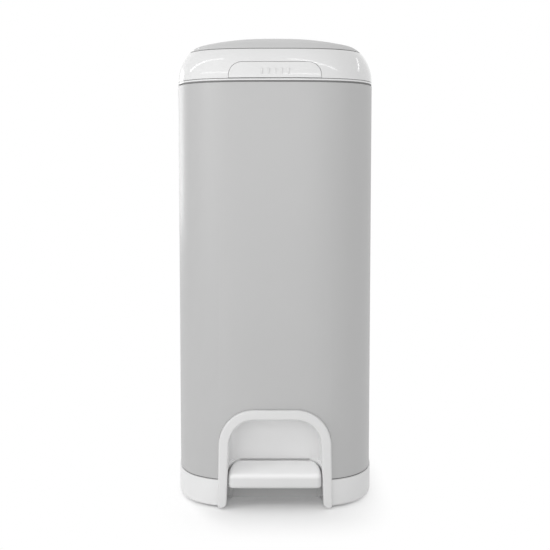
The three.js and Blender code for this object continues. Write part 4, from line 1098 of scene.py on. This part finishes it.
def make_collar():
    plug = half_width - steel_wall - fit_gap
    inside = plug - collar_wall
    neck_top = band_bottom + neck_height
    collar = spin("collar_band", [
        (inside, band_bottom - collar_drop),
        (plug, band_bottom - collar_drop),
        (plug, neck_top, 0.2 * mm),
        (half_width, neck_top, 0.4 * mm),
        (half_width, band_top + band_rise, 0.3 * mm),
        (inside, band_top + band_rise, 0.8 * mm),
    ], 0.8 * mm)
    wall = half_depth - collar_wall
    for left, right in both_sides(knuckle_half + fit_gap, collar_knuckle):
        fuse(collar, hinge_barrel(left, right, housing_axis, wall, band_bottom, band_top))
    carve(collar, bore(pin_radius, bore_reach, housing_axis))
    dress(collar, "base", "white_gloss", "body_collar")
    # Painted shade: a dark grey strip in the joint under the band makes it read as a dark line.
    seal = band(
        "rim_seal", plug + shade_strip_play, half_width - shade_strip_inset,
        band_bottom, neck_top - shade_strip_play, 0.3 * mm)
    reach = collar_knuckle + fit_gap
    carve(seal, block(
        (-reach, half_depth - collar_wall * 2, band_bottom - overrun),
        (reach, half_depth * 2, band_top),
    ))
    dress(seal, "base", "foot_rubber_grey")


make_collar()

# %% [markdown]
# ## Top ring
# The glossy ring is spun from the shoulder line on the outside and a seat for the lid on the
# inside. Its rear takes two hinges, and the front has the opening for the release tab.

# %% Top ring
housing_wall = 3 * mm
seat_width = 10 * mm
seat_wall = 3 * mm
tab_half = 63.3 * mm
tab_height = 22.2 * mm
tab_corner = 18.5 * mm
tab_groove = 0.5 * mm
lid_knuckle = 21.5 * mm
ring_knuckle = 30 * mm
tab_pin = 1.2 * mm
tab_eye = 2.8 * mm
tab_eye_near = 24 * mm
tab_eye_width = 6 * mm
tab_eye_far = tab_eye_near + tab_eye_width
depth_ratio = half_depth / half_width
deck_screw_share = 0.69
screw_depth = 9 * mm
notch_depth = 9 * mm
web_height = 9 * mm
finger_half = 5 * mm + fit_gap * 5
finger_reach = 20 * mm


def ring_profile(skin_steps=28):
    end = turn_at(edge_inset)
    profile = [(half_width, ring_bottom, 0.4 * mm)]
    for i in range(skin_steps):
        profile.append((*shoulder_point(end * i / skin_steps), 0))
    profile.append((*shoulder_point(end), 0.9 * mm))
    inner = seat_radius - seat_width
    under = seat_floor - seat_wall
    profile += [
        (seat_radius, seat_floor, 1 * mm),
        (inner, seat_floor, 1 * mm),
        (inner, deck_top + fit_gap),
        (inner + seat_wall, deck_top + fit_gap),
        (inner + seat_wall, under, 1 * mm),
        (seat_radius + seat_wall, under, 1 * mm),
    ]
    for share in (0.85, 0.7, 0.55, 0.4, 0.25, 0.12, 0):
        profile.append((*shoulder_point(end * share, housing_wall), 0))
    profile.append((half_width - housing_wall, ring_bottom))
    return profile


def tab_block(inset, foot):
    line = arch_line(tab_half - inset, ring_bottom + tab_height - inset, tab_corner - inset, foot)
    back = -half_depth + housing_wall * 6
    return loft("tab_block", [[(x, y, z) for x, z in line] for y in (-half_depth * 1.5, back)])


def make_top_ring():
    housing = spin("housing_ring", ring_profile(), 0.4 * mm)
    notch = block(
        (-ring_knuckle - fit_gap, lid_axis.y - barrel_radius * 3, ring_top - notch_depth),
        (ring_knuckle + fit_gap, half_depth * 1.5, ring_top + overrun * 2),
    )
    finger_slot = block(
        (-finger_half, lid_axis.y - finger_reach, deck_top - overrun),
        (finger_half, lid_axis.y - fit_gap * 5, ring_top + overrun),
    )
    carve(housing, notch, finger_slot, tab_block(0, ring_bottom - overrun))
    for left, right in both_sides(lid_knuckle + fit_gap, ring_knuckle):
        lug = cross_bar(barrel_radius, left, right, lid_axis)
        foot = block(
            (left, lid_axis.y - barrel_radius, seat_floor - seat_wall),
            (right, lid_axis.y + barrel_radius, lid_axis.z),
        )
        fuse(housing, fuse(lug, foot))
    seat_inside = -(seat_radius - seat_width) * depth_ratio
    for left, right in both_sides(tab_eye_far + fit_gap, tab_eye_far + tab_eye_width):
        cheek = block(
            (left, tab_axis.y - tab_pin - fit_gap * 2, tab_axis.z - tab_eye),
            (right, tab_axis.y + tab_eye, deck_top + fit_gap * 3),
        )
        strut = block(
            (left, tab_axis.y, deck_top + fit_gap),
            (right, seat_inside - seat_wall / 2, seat_floor - seat_wall / 2),
        )
        fuse(housing, cheek, strut)
    for x, y in corners(deck_screw_share):
        carve(housing, bar(screw_hole, (x, y, deck_top), (x, y, deck_top + screw_depth)))
    fuse(housing, hinge_barrel(
        -knuckle_half, knuckle_half, housing_axis,
        half_depth - housing_wall, ring_bottom, ring_bottom + web_height))
    carve(
        housing,
        bore(pin_radius, bore_reach, housing_axis),
        bore(pin_radius, bore_reach, lid_axis),
        bore(tab_pin, tab_half, tab_axis),
    )
    dress(housing, "top_housing", "white_gloss", "top_housing")


make_top_ring()

# %% [markdown]
# ## Release tab
# The tab is cut from the same skin as the ring, a groove smaller all round, so the shine runs over
# both without a step. Small ribs give the finger a grip. Behind it hangs the hook.

# %% Release tab
tab_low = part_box("latch_tab")[0]
rib_count = 5
rib_pitch = 9 * mm
rib_length = 8 * mm
rib_width = 2 * mm
rib_rise = 0.5 * mm
stem_start = 3.8 * mm
hook_half, hook_gauge = 11 * mm, 3 * mm
hook_front = tab_low[1] + 10.21 * mm
hook_top = ring_bottom + 9.7 * mm
bridge_height = 4.2 * mm


def make_tab():
    foot = ring_bottom + fit_gap * 1.5
    tab = spin("release_tab", ring_profile(), 0.4 * mm)
    keep_inside(tab, tab_block(tab_groove, foot))
    middle = (foot + ring_bottom + tab_height) / 2 - rib_width
    for i in range(rib_count):
        x = (i - (rib_count - 1) / 2) * rib_pitch
        rib = block(
            (x - rib_width / 2, -half_depth - rib_rise, middle - rib_length / 2),
            (x + rib_width / 2, -half_depth + housing_wall / 2, middle + rib_length / 2),
        )
        fuse(tab, soften(rib, 0.45 * mm))
    hook_end = (hook_half, hook_front + hook_gauge, hook_top)
    shank = block((-hook_half, hook_front, tab_low[2]), hook_end)
    bridge = block((-hook_half, -half_depth + housing_wall / 2, hook_top - bridge_height), hook_end)
    fuse(tab, shank, bridge)
    for left, right in both_sides(tab_eye_near, tab_eye_far):
        stem = block(
            (left, -half_depth + stem_start, tab_axis.z - tab_eye / 2),
            (right, tab_axis.y, tab_axis.z + tab_eye / 2),
        )
        fuse(tab, cross_bar(tab_eye, left, right, tab_axis), stem)
    carve(tab, bore(tab_pin, tab_half, tab_axis))
    dress(tab, "latch_tab", "white_gloss", "latch_tab")


make_tab()

# %% [markdown]
# ## Lid
# The lid is a shallow grey dome whose skin carries on the shoulder line. It is a shell with a rim
# that drops into the seat, notched at the rear for its hinge. A dark grey strip under its edge is
# painted shade: it gives the shaded seam its dark line.

# %% Lid
lid_wall = 2.5 * mm
lid_rim = 9.6 * mm
lid_strip = 2 * mm
lid_strip_set = 0.4 * mm


def dome_points(depth, inset, steps=14, crown_steps=26):
    start = turn_at(inset)
    points = []
    for i in range(steps + 1):
        points.append(shoulder_point(start + (math.pi / 2 - start) * i / steps, depth))
    edge = points[-1][0]
    for i in range(1, crown_steps + 1):
        half = edge * (1 - i / crown_steps)
        points.append((half, shoulder_start + shoulder_height - depth + crown(half_width - half)))
    return points


def lid_cutters(bottom):
    """Room at the rear of the lid for its hinge."""
    room = ring_knuckle + fit_gap * 2
    notch = block(
        (-lid_knuckle - fit_gap, lid_axis.y - barrel_radius * 3, bottom - overrun),
        (lid_knuckle + fit_gap, half_depth * 1.5, lid_axis.z + barrel_radius / 3),
    )
    lugs = block(
        (-room, lid_axis.y - barrel_radius - fit_gap * 2, bottom - overrun),
        (room, half_depth * 1.5, lid_axis.z),
    )
    return notch, lugs, cross_bar(barrel_radius + fit_gap * 2, -room, room, lid_axis)


def make_lid():
    rim_outer = seat_radius - lid_seam
    neck = rim_outer - lid_undercut
    rim_inner = rim_outer - lid_wall
    rim_bottom = ring_top - lid_rim
    outside = dome_points(0, edge_inset + lid_seam)
    inside = dome_points(lid_wall, ring_width + lid_seam)
    inside = [point for point in inside if point[0] < rim_inner - fit_gap]
    edge, edge_height = outside[0]
    lip = edge_height - lid_lip
    profile = [(*point, 0) for point in reversed(outside)]
    profile[-1] = (edge, edge_height, 0.5 * mm)
    profile += [(edge, lip, 0.2 * mm), (neck, lip, 0.2 * mm)]
    profile += [(neck, rim_bottom, 0.4 * mm), (rim_inner, rim_bottom, 0.4 * mm)]
    profile.append((rim_inner, inside[0][1] - lid_wall / 2, 0.8 * mm))
    profile += [(*point, 0) for point in inside]
    lid = spin("lid_shell", profile, 0)
    carve(lid, *lid_cutters(rim_bottom))
    dress(lid, "lid", "lid_grey", "lid_dome")
    # Painted shade: a dark grey strip under the lid's edge makes the seam read as a dark line.
    strip = band(
        "lid_seal", neck + shade_strip_play, edge - lid_strip_set,
        lip - lid_strip, lip - shade_strip_play, 0.3 * mm)
    carve(strip, *lid_cutters(rim_bottom))
    dress(strip, "lid", "foot_rubber_grey")


make_lid()

# %% [markdown]
# ## Pins, axle and push rod
# Hinge pins and rods are ground bar, cut to length, with a chamfer so that they slide into their
# bores and a groove near each end for a retaining ring. The CAD part's box gives each one its
# place: its longest side is the axis. One loop turns them all.

# %% Pins, axle and push rod
slot_names = {row["node"]: row["material_slot"] for row in frame["record"]["subparts"]}


def carrier(node):
    return frame["nodes"][node]["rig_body"]


def stand_for(piece, node, angle=35):
    return dress(piece, carrier(node), slot_names[node], node, angle=angle)


def lathe(name, start, along, profile, steps=40):
    """A solid turned round an axis from pairs of distance and radius."""
    turn = along.to_track_quat("Z", "Y").to_matrix()
    rings = []
    for distance, radius in profile:
        ring = [Vector((*circle(math.tau * i / steps), 0)) * radius for i in range(steps)]
        rings.append([start + along * distance + turn @ point for point in ring])
    return loft(name, rings)


def make_pin(node):
    low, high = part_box(node)
    size = high - low
    axis = max(range(3), key=lambda i: size[i])
    along = Vector([1 if i == axis else 0 for i in range(3)])
    start = (low + high) / 2 - along * size[axis] / 2
    length, radius = size[axis], min(size) / 2
    chamfer = radius / 5
    groove = chamfer * 4
    waist = radius * 0.88
    end = [(0, radius - chamfer), (chamfer, radius), (groove, radius), (groove, waist)]
    end += [(groove + chamfer * 1.5, waist), (groove + chamfer * 1.5, radius)]
    profile = end + [(length - distance, reach) for distance, reach in reversed(end)]
    stand_for(lathe(node + "_turned", start, along, profile), node)


pins = ["housing_hinge_pin", "lid_hinge_pin", "pedal_axle", "push_rod"]
pins += [kind + side for kind in ("clamp_pin_", "latch_pin_") for side in ("left", "right")]
for node in pins:
    make_pin(node)

# %% [markdown]
# ## Springs
# Each spring is one wire wound round a line. A ring of points is carried along the winding, square
# to the wire's own direction, and the rings are joined like any loft.

# %% Springs


def coil(name, middle, radius, wire, turns, pitch, turn_steps=24, sides=10):
    rings = []
    for i in range(turns * turn_steps + 1):
        turn = math.tau * i / turn_steps
        out = Vector((math.cos(turn), 0, math.sin(turn)))
        along = Vector((-out.z, pitch / (math.tau * radius), out.x)).normalized()
        across = along.cross(out)
        height = pitch * (i / turn_steps - turns / 2)
        centre = middle + out * radius + Vector((0, height, 0))
        ring = [Vector(circle(math.tau * k / sides)) * wire / 2 for k in range(sides)]
        rings.append([centre + out * x + across * y for x, y in ring])
    return loft(name, rings)


spring_turns, spring_pitch = 4, 2.2 * mm
for node, wire in (("clamp_spring_left", 0.8), ("clamp_spring_right", 0.8), ("latch_spring", 0.7)):
    low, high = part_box(node)
    radius = (high.z - low.z - wire * mm) / 2
    middle = (low + high) / 2
    spring = coil(node + "_wound", middle, radius, wire * mm, spring_turns, spring_pitch)
    stand_for(spring, node, angle=60)
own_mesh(spring)

# %% [markdown]
# ## Screws
# The screws are small pan heads with a cross in them. The thread is a real helix: every point of
# the shank asks how far along the winding it is, and moves out or in by that much. One screw is
# made for each length, and its mesh is copied to the others' places.

# %% Screws
head_radius, head_height = 3.6 * mm, 1.8 * mm
shank_radius = 1.6 * mm
thread_pitch, thread_depth = 0.9 * mm, 0.3 * mm
tip_length = 1.6 * mm
cross_long, cross_wide, cross_deep = 1.9 * mm, 0.38 * mm, 1.1 * mm


def threaded(name, bottom, top, steps=24):
    rings = []
    levels = round((top - bottom) / thread_pitch * 8)
    for i in range(levels + 1):
        height = bottom + (top - bottom) * i / levels
        thin = min(1, 0.35 + 0.65 * (top - height) / tip_length)
        ring = []
        for k in range(steps):
            wound = (height / thread_pitch - k / steps) % 1
            reach = (shank_radius - thread_depth * abs(wound * 2 - 1)) * thin
            ring.append((*[reach * side for side in circle(math.tau * k / steps)], height))
        rings.append(ring)
    return loft(name, rings)


def make_screw(length):
    head = spin("screw", [
        (0, 0), (head_radius * 0.7, 0), (head_radius, head_height * 0.5),
        (head_radius, head_height), (0, head_height),
    ], 0.7 * mm, circle, 32)
    for x, y in ((cross_long, cross_wide), (cross_wide, cross_long)):
        carve(head, block((-x, -y, -overrun), (x, y, cross_deep)))
    return fuse(head, threaded("shank", head_height / 2, length))


def copy_to(piece, node, ending, floor):
    """Puts a copy of a piece in a node's place, standing on a given height."""
    low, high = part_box(node)
    mesh = piece.data.copy()
    mesh.transform(Matrix.Translation(((low.x + high.x) / 2, (low.y + high.y) / 2, floor)))
    stand_for(add_piece(node + ending, mesh), node)


screws = {}
for node in [name for name in frame["nodes"] if "_screw_" in name]:
    low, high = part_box(node)
    length = round(high.z - low.z, 5)
    if length not in screws:
        screws[length] = make_screw(length)
    copy_to(screws[length], node, "_cut", low.z)
for screw in screws.values():
    bpy.data.objects.remove(screw)

# %% [markdown]
# ## Rubber feet
# The feet are moulded discs that stand on a ring with a groove in it, so that they grip a smooth
# floor. They are spun once and copied, like the screws.

# %% Rubber feet
foot_profile = [
    (0, 1), (3, 1), (3.6, 0.5), (5, 0.5), (5.6, 1), (7.4, 1), (8.2, 0), (9.4, 0),
    (9.7, 0.4), (10, 0.4), (10.3, 0), (11.2, 0), (12, 0.9), (12, 4.7), (0, 4.7),
]
foot = spin("foot", [(x * mm, z * mm) for x, z in foot_profile], 0.3 * mm, circle, 64)
for number in range(1, 5):
    copy_to(foot, f"rubber_foot_{number}", "_moulded", 0)
bpy.data.objects.remove(foot)

# %% [markdown]
# ## Parts whose CAD shape is right
# The lever, the channel, the deck and other inner mouldings already have their true shape. Such a
# part is copied, the points that the file format split are joined again, flat triangles become
# whole faces, and a small bevel rounds the edges as a mould does.

# %% Copies with rounded edges


def rounded_copy(node, width):
    shape = bmesh.new()
    shape.from_mesh(frame["nodes"][node].data)
    bmesh.ops.remove_doubles(shape, verts=shape.verts, dist=0.002 * mm)
    bmesh.ops.dissolve_limit(
        shape, angle_limit=math.radians(1), verts=shape.verts, edges=shape.edges)
    mesh = bpy.data.meshes.new(node + "_moulded")
    shape.to_mesh(mesh)
    shape.free()
    if "custom_normal" in mesh.attributes:
        mesh.attributes.remove(mesh.attributes["custom_normal"])
    stand_for(soften(add_piece(node + "_moulded", mesh), width), node)


edge_widths = {
    "base_plate": 0.5, "floor_tray": 0.6, "rod_channel": 0.4, "rod_guide_lower": 0.5,
    "rod_guide_upper": 0.5, "pedal_lever": 0.8, "lid_lifter": 0.5, "inner_deck": 0.4,
    "lid_hinge": 0.5, "film_cutter": 0.7, "cutter_blade": 0.08, "latch_strike": 0.4,
}
for node, width in edge_widths.items():
    rounded_copy(node, width * mm)

# %% [markdown]
# The base plate gets two rings of ribs on its underside. Ribs like these keep a large flat
# moulding from warping as it cools.

# %% Base plate ribs
plate_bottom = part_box("base_plate")[0].z
rib_half_width = 0.8 * mm
rib_depth = 1.2 * mm
rib_sink = 0.1 * mm
rib_rings = 60 * mm, 96 * mm
front_room = -75 * mm
for number, half in enumerate(rib_rings, 1):
    rib = band(
        f"plate_rib_{number}", half - rib_half_width, half + rib_half_width,
        plate_bottom - rib_depth, plate_bottom + rib_sink, 0.3 * mm)
    reach = arch_half + overrun * 2
    carve(rib, block((-reach, -half_depth * 2, 0), (reach, front_room, 20 * mm)))
    dress(rib, "base", "white_satin")

# %% [markdown]
# ## Rod ends
# The push rod has a plastic foot that rests on the lever and a head that lifts the lifter. Both are
# turned shapes with a socket for the rod.

# %% Rod ends
rod_low, rod_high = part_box("push_rod")
rod_radius = (rod_high.x - rod_low.x) / 2
rod_place = Vector((0, (rod_low.y + rod_high.y) / 2, 0))


def make_rod_end(node, profile, edge):
    end = spin(node + "_turned", profile, edge, circle, 48)
    end.data.transform(Matrix.Translation(rod_place))
    stand_for(end, node)


foot_low, foot_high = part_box("rod_foot")
foot_radius = (foot_high.x - foot_low.x) / 2
socket = rod_radius + fit_gap
make_rod_end("rod_foot", [
    (0, foot_low.z),
    (foot_radius, foot_low.z, 1.2 * mm),
    (foot_radius, (foot_low.z + foot_high.z) / 2),
    (rod_radius * 2, foot_high.z),
    (socket, foot_high.z, 0.3 * mm),
    (socket, rod_low.z - fit_gap, 0.3 * mm),
    (0, rod_low.z - fit_gap),
], 0.8 * mm)
head_low, head_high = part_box("rod_head")
make_rod_end("rod_head", [
    (0, rod_high.z + fit_gap),
    (socket, rod_high.z + fit_gap, 0.2 * mm),
    (socket, head_low.z, 0.2 * mm),
    (head_high.x, head_low.z, 0.3 * mm),
    (head_high.x, head_high.z, 1.2 * mm),
    (0, head_high.z),
], 0.5 * mm)

# %% [markdown]
# ## Refill well
# The well is a round tub that hangs in the deck by its flange. A grey seal lies on the flange, and
# the lid's plug presses on it. All of it is turned work, with a circle for its outline.

# %% Refill well and seal
well_low, well_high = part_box("refill_well")
seal_low, seal_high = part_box("well_seal")
flange_radius = well_high.x
well_outer = flange_radius - 7 * mm
well_inner = well_outer - 2.5 * mm
well_mouth = 58 * mm
well_floor = well_low.z + 3 * mm
turned_steps = 128


def make_turned(node, profile, edge=0.5 * mm, outline=circle):
    return stand_for(spin(node + "_turned", profile, edge, outline, turned_steps), node)


make_turned("refill_well", [
    (well_mouth, well_low.z),
    (well_outer, well_low.z, 2 * mm),
    (well_outer, deck_top + fit_gap),
    (flange_radius, deck_top + fit_gap),
    (flange_radius, well_high.z),
    (well_inner, well_high.z),
    (well_inner, well_floor, 1 * mm),
    (well_mouth, well_floor),
])
seal_inner = well_outer + 1 * mm
make_turned("well_seal", [
    (seal_inner, seal_low.z),
    (seal_high.x, seal_low.z),
    (seal_high.x - 1 * mm, seal_high.z),
    (seal_inner + 2.6 * mm, seal_high.z),
    (seal_inner + 2 * mm, seal_low.z + 0.9 * mm),
    (seal_inner + 1.6 * mm, seal_high.z),
    (seal_inner + 1 * mm, seal_high.z),
], 0.3 * mm)

# %% [markdown]
# ## Film refill
# The refill is a white cup with a lid, and a long tube of thin film pushed together inside it. The
# gathered film shows as a stack of uneven folds, so its sides are a zigzag and its outline wavers.

# %% Film refill
cup_low, cup_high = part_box("cassette_cup")
cap_low, cap_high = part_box("cassette_cap")
film_low, film_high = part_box("film_pack")
cup_radius = cup_high.x
cup_bore = 60 * mm
cup_wall = 2 * mm
cap_mouth = 56 * mm
film_fall = 3 * mm
film_folds = 13
make_turned("cassette_cup", [
    (cup_bore, cup_low.z, 1 * mm),
    (cup_radius, cup_low.z, 1.6 * mm),
    (cup_radius, cup_high.z),
    (cup_radius - cup_wall, cup_high.z),
    (cup_radius - cup_wall, cup_low.z + cup_wall, 1 * mm),
    (cup_bore + cup_wall, cup_low.z + cup_wall, 1 * mm),
    (cup_bore + cup_wall, cup_high.z - film_fall + fit_gap, 0.9 * mm),
    (cup_bore, cup_high.z - film_fall + fit_gap, 0.9 * mm),
])
cap_middle = (cap_low.z + cap_high.z) / 2 + 0.3 * mm
make_turned("cassette_cap", [
    (cap_mouth, cap_low.z),
    (cup_radius, cap_low.z),
    (cup_radius, cap_middle, 0.6 * mm),
    (cup_radius - 1.4 * mm, cap_high.z),
    (cup_radius - 5 * mm, cap_high.z),
    (cup_radius - 6 * mm, cap_middle),
    (cap_mouth + 6 * mm, cap_middle),
    (cap_mouth + 5 * mm, cap_high.z),
    (cap_mouth + 1.5 * mm, cap_high.z),
    (cap_mouth, cap_middle),
], 0.4 * mm)


def wavering(turn):
    waver = 0.5 + 0.25 * math.sin(31 * turn) + 0.25 * math.sin(53 * turn + 1)
    x, y = circle(turn)
    return x * (1 - 0.008 * waver), y * (1 - 0.008 * waver)


def film_profile():
    inner, outer = cup_bore + cup_wall + fit_gap * 2, film_high.x
    profile = []
    for i in range(film_folds * 2 + 1):
        dent = 1.1 * mm if i % 2 else 0
        height = film_low.z + (film_high.z - film_low.z) * i / (film_folds * 2)
        profile.append((outer - dent, height))
    for i in range(film_folds * 2, -1, -1):
        dent = 1.1 * mm if i % 2 else 0
        height = film_low.z + (film_high.z - film_fall - film_low.z) * i / (film_folds * 2)
        profile.append((inner + dent, height))
    return profile


make_turned("film_pack", film_profile(), 0.35 * mm, wavering)

# %% [markdown]
# ## Clamp and jaws
# Under the well, two spring-loaded jaws close the film's mouth. Each jaw is half a disc with a
# barrel along its outer edge, and a gap in the barrel leaves room for its spring.

# %% Clamp and jaws
clamp_low, clamp_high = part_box("clamp_frame")
clamp_wall = 3 * mm
jaw_axis_z = clamp_high.z - 9 * mm
jaw_axis_x = 66 * mm
jaw_barrel, jaw_pin = 3 * mm, 1.2 * mm
jaw_half_length, jaw_lug = 22 * mm, 5 * mm
jaw_reach = 61 * mm
jaw_gauge, jaw_slit = 2.4 * mm, 0.8 * mm
jaw_window = 5.8 * mm


def jaw_bore(side):
    x = side * jaw_axis_x
    return bar(jaw_pin + fit_gap, (x, -jaw_reach, jaw_axis_z), (x, jaw_reach, jaw_axis_z))


def make_clamp_frame():
    inside = clamp_high.x - clamp_wall
    clamp = spin("clamp_body", [
        (well_mouth, clamp_high.z - clamp_wall),
        (inside, clamp_high.z - clamp_wall, 1 * mm),
        (inside, clamp_low.z),
        (clamp_high.x, clamp_low.z),
        (clamp_high.x, clamp_high.z, 1.5 * mm),
        (well_mouth, clamp_high.z),
    ], 0.5 * mm, circle, turned_steps)
    for side in (-1, 1):
        x = side * jaw_axis_x
        for near, far in both_sides(jaw_half_length + fit_gap, jaw_half_length + jaw_lug):
            lug = block(
                (x - jaw_barrel, near, jaw_axis_z - jaw_barrel),
                (x + jaw_barrel, far, clamp_high.z - clamp_wall / 2),
            )
            fuse(clamp, soften(lug, 0.6 * mm))
        carve(clamp, jaw_bore(side))
    stand_for(clamp, "clamp_frame")


def make_jaw(node, side):
    low, high = jaw_axis_z - jaw_gauge / 2, jaw_axis_z + jaw_gauge / 2
    jaw = band(node + "_moulded", 0, jaw_reach, low, high, 0.8 * mm, circle, turned_steps)
    clear = jaw_axis_x - jaw_barrel * 1.5 - fit_gap
    left, right = sorted((side * jaw_slit, side * clear))
    keep_inside(jaw, block((left, -jaw_reach * 2, 0), (right, jaw_reach * 2, 1)))
    left, right = sorted((side * (clear - jaw_barrel), side * jaw_axis_x))
    link = block((left, -jaw_half_length, low), (right, jaw_half_length, high))
    x, wide = side * jaw_axis_x, jaw_barrel * 2
    barrel = bar(jaw_barrel, (x, -jaw_half_length, jaw_axis_z), (x, jaw_half_length, jaw_axis_z))
    fuse(jaw, link, barrel)
    window = block(
        (x - wide, -jaw_window, jaw_axis_z - wide), (x + wide, jaw_window, jaw_axis_z + wide))
    carve(jaw, jaw_bore(side), window)
    stand_for(soften(jaw, 0.25 * mm), node)


make_clamp_frame()
make_jaw("clamp_jaw_left", -1)
make_jaw("clamp_jaw_right", 1)

# %% [markdown]
# ## Lid liner and filter
# The underside of the lid shows when it is open. The liner closes the dome, its round plug presses
# on the seal, and a slotted holder in the middle keeps a carbon pad against smells.

# %% Lid liner and filter
liner_low, liner_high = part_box("lid_liner")
liner_bottom = liner_high.z - 2 * mm
liner_sink = 1 * mm
hinge_reach = 26 * mm
plug_outer, plug_inner = 88 * mm, 85.5 * mm
bead_radius, bead_half, bead_drop = 62 * mm, 1 * mm, 0.8 * mm
tray_wall = 2 * mm
slit_half, slit_pitch = 2 * mm, 8 * mm


def make_liner():
    liner = band("liner_plate", 0, liner_high.x, liner_bottom, liner_high.z, 0.5 * mm)
    room = lid_knuckle + fit_gap * 2
    carve(liner, block(
        (-room, lid_axis.y - hinge_reach - fit_gap, liner_low.z), (room, half_depth, ring_top)))
    top = liner_high.z - liner_sink
    plug = band(
        "plug", plug_inner, plug_outer, liner_low.z, top, 0.6 * mm, circle, turned_steps)
    bead = band(
        "bead", bead_radius - bead_half, bead_radius + bead_half,
        liner_bottom - bead_drop, top, 0.5 * mm, circle, turned_steps)
    stand_for(fuse(liner, plug, bead), "lid_liner")


def make_filter():
    low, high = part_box("filter_holder")
    radius = high.x
    holder = spin("filter_tray", [
        (0, low.z), (radius, low.z, 1.6 * mm), (radius, high.z), (radius - tray_wall, high.z),
        (radius - tray_wall, low.z + tray_wall), (0, low.z + tray_wall),
    ], 0.4 * mm, circle, turned_steps)
    for i in range(-2, 3):
        x = i * slit_pitch
        reach = math.sqrt((radius - tray_wall * 3) ** 2 - x * x)
        carve(holder, block(
            (x - slit_half, -reach, low.z - overrun),
            (x + slit_half, reach, low.z + tray_wall + fit_gap),
        ))
    stand_for(soften(holder, 0.3 * mm), "filter_holder")
    low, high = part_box("carbon_filter")
    pad = band("carbon_pad", 0, high.x, low.z, high.z, 1 * mm, circle, turned_steps)
    stand_for(pad, "carbon_filter")


make_liner()
make_filter()
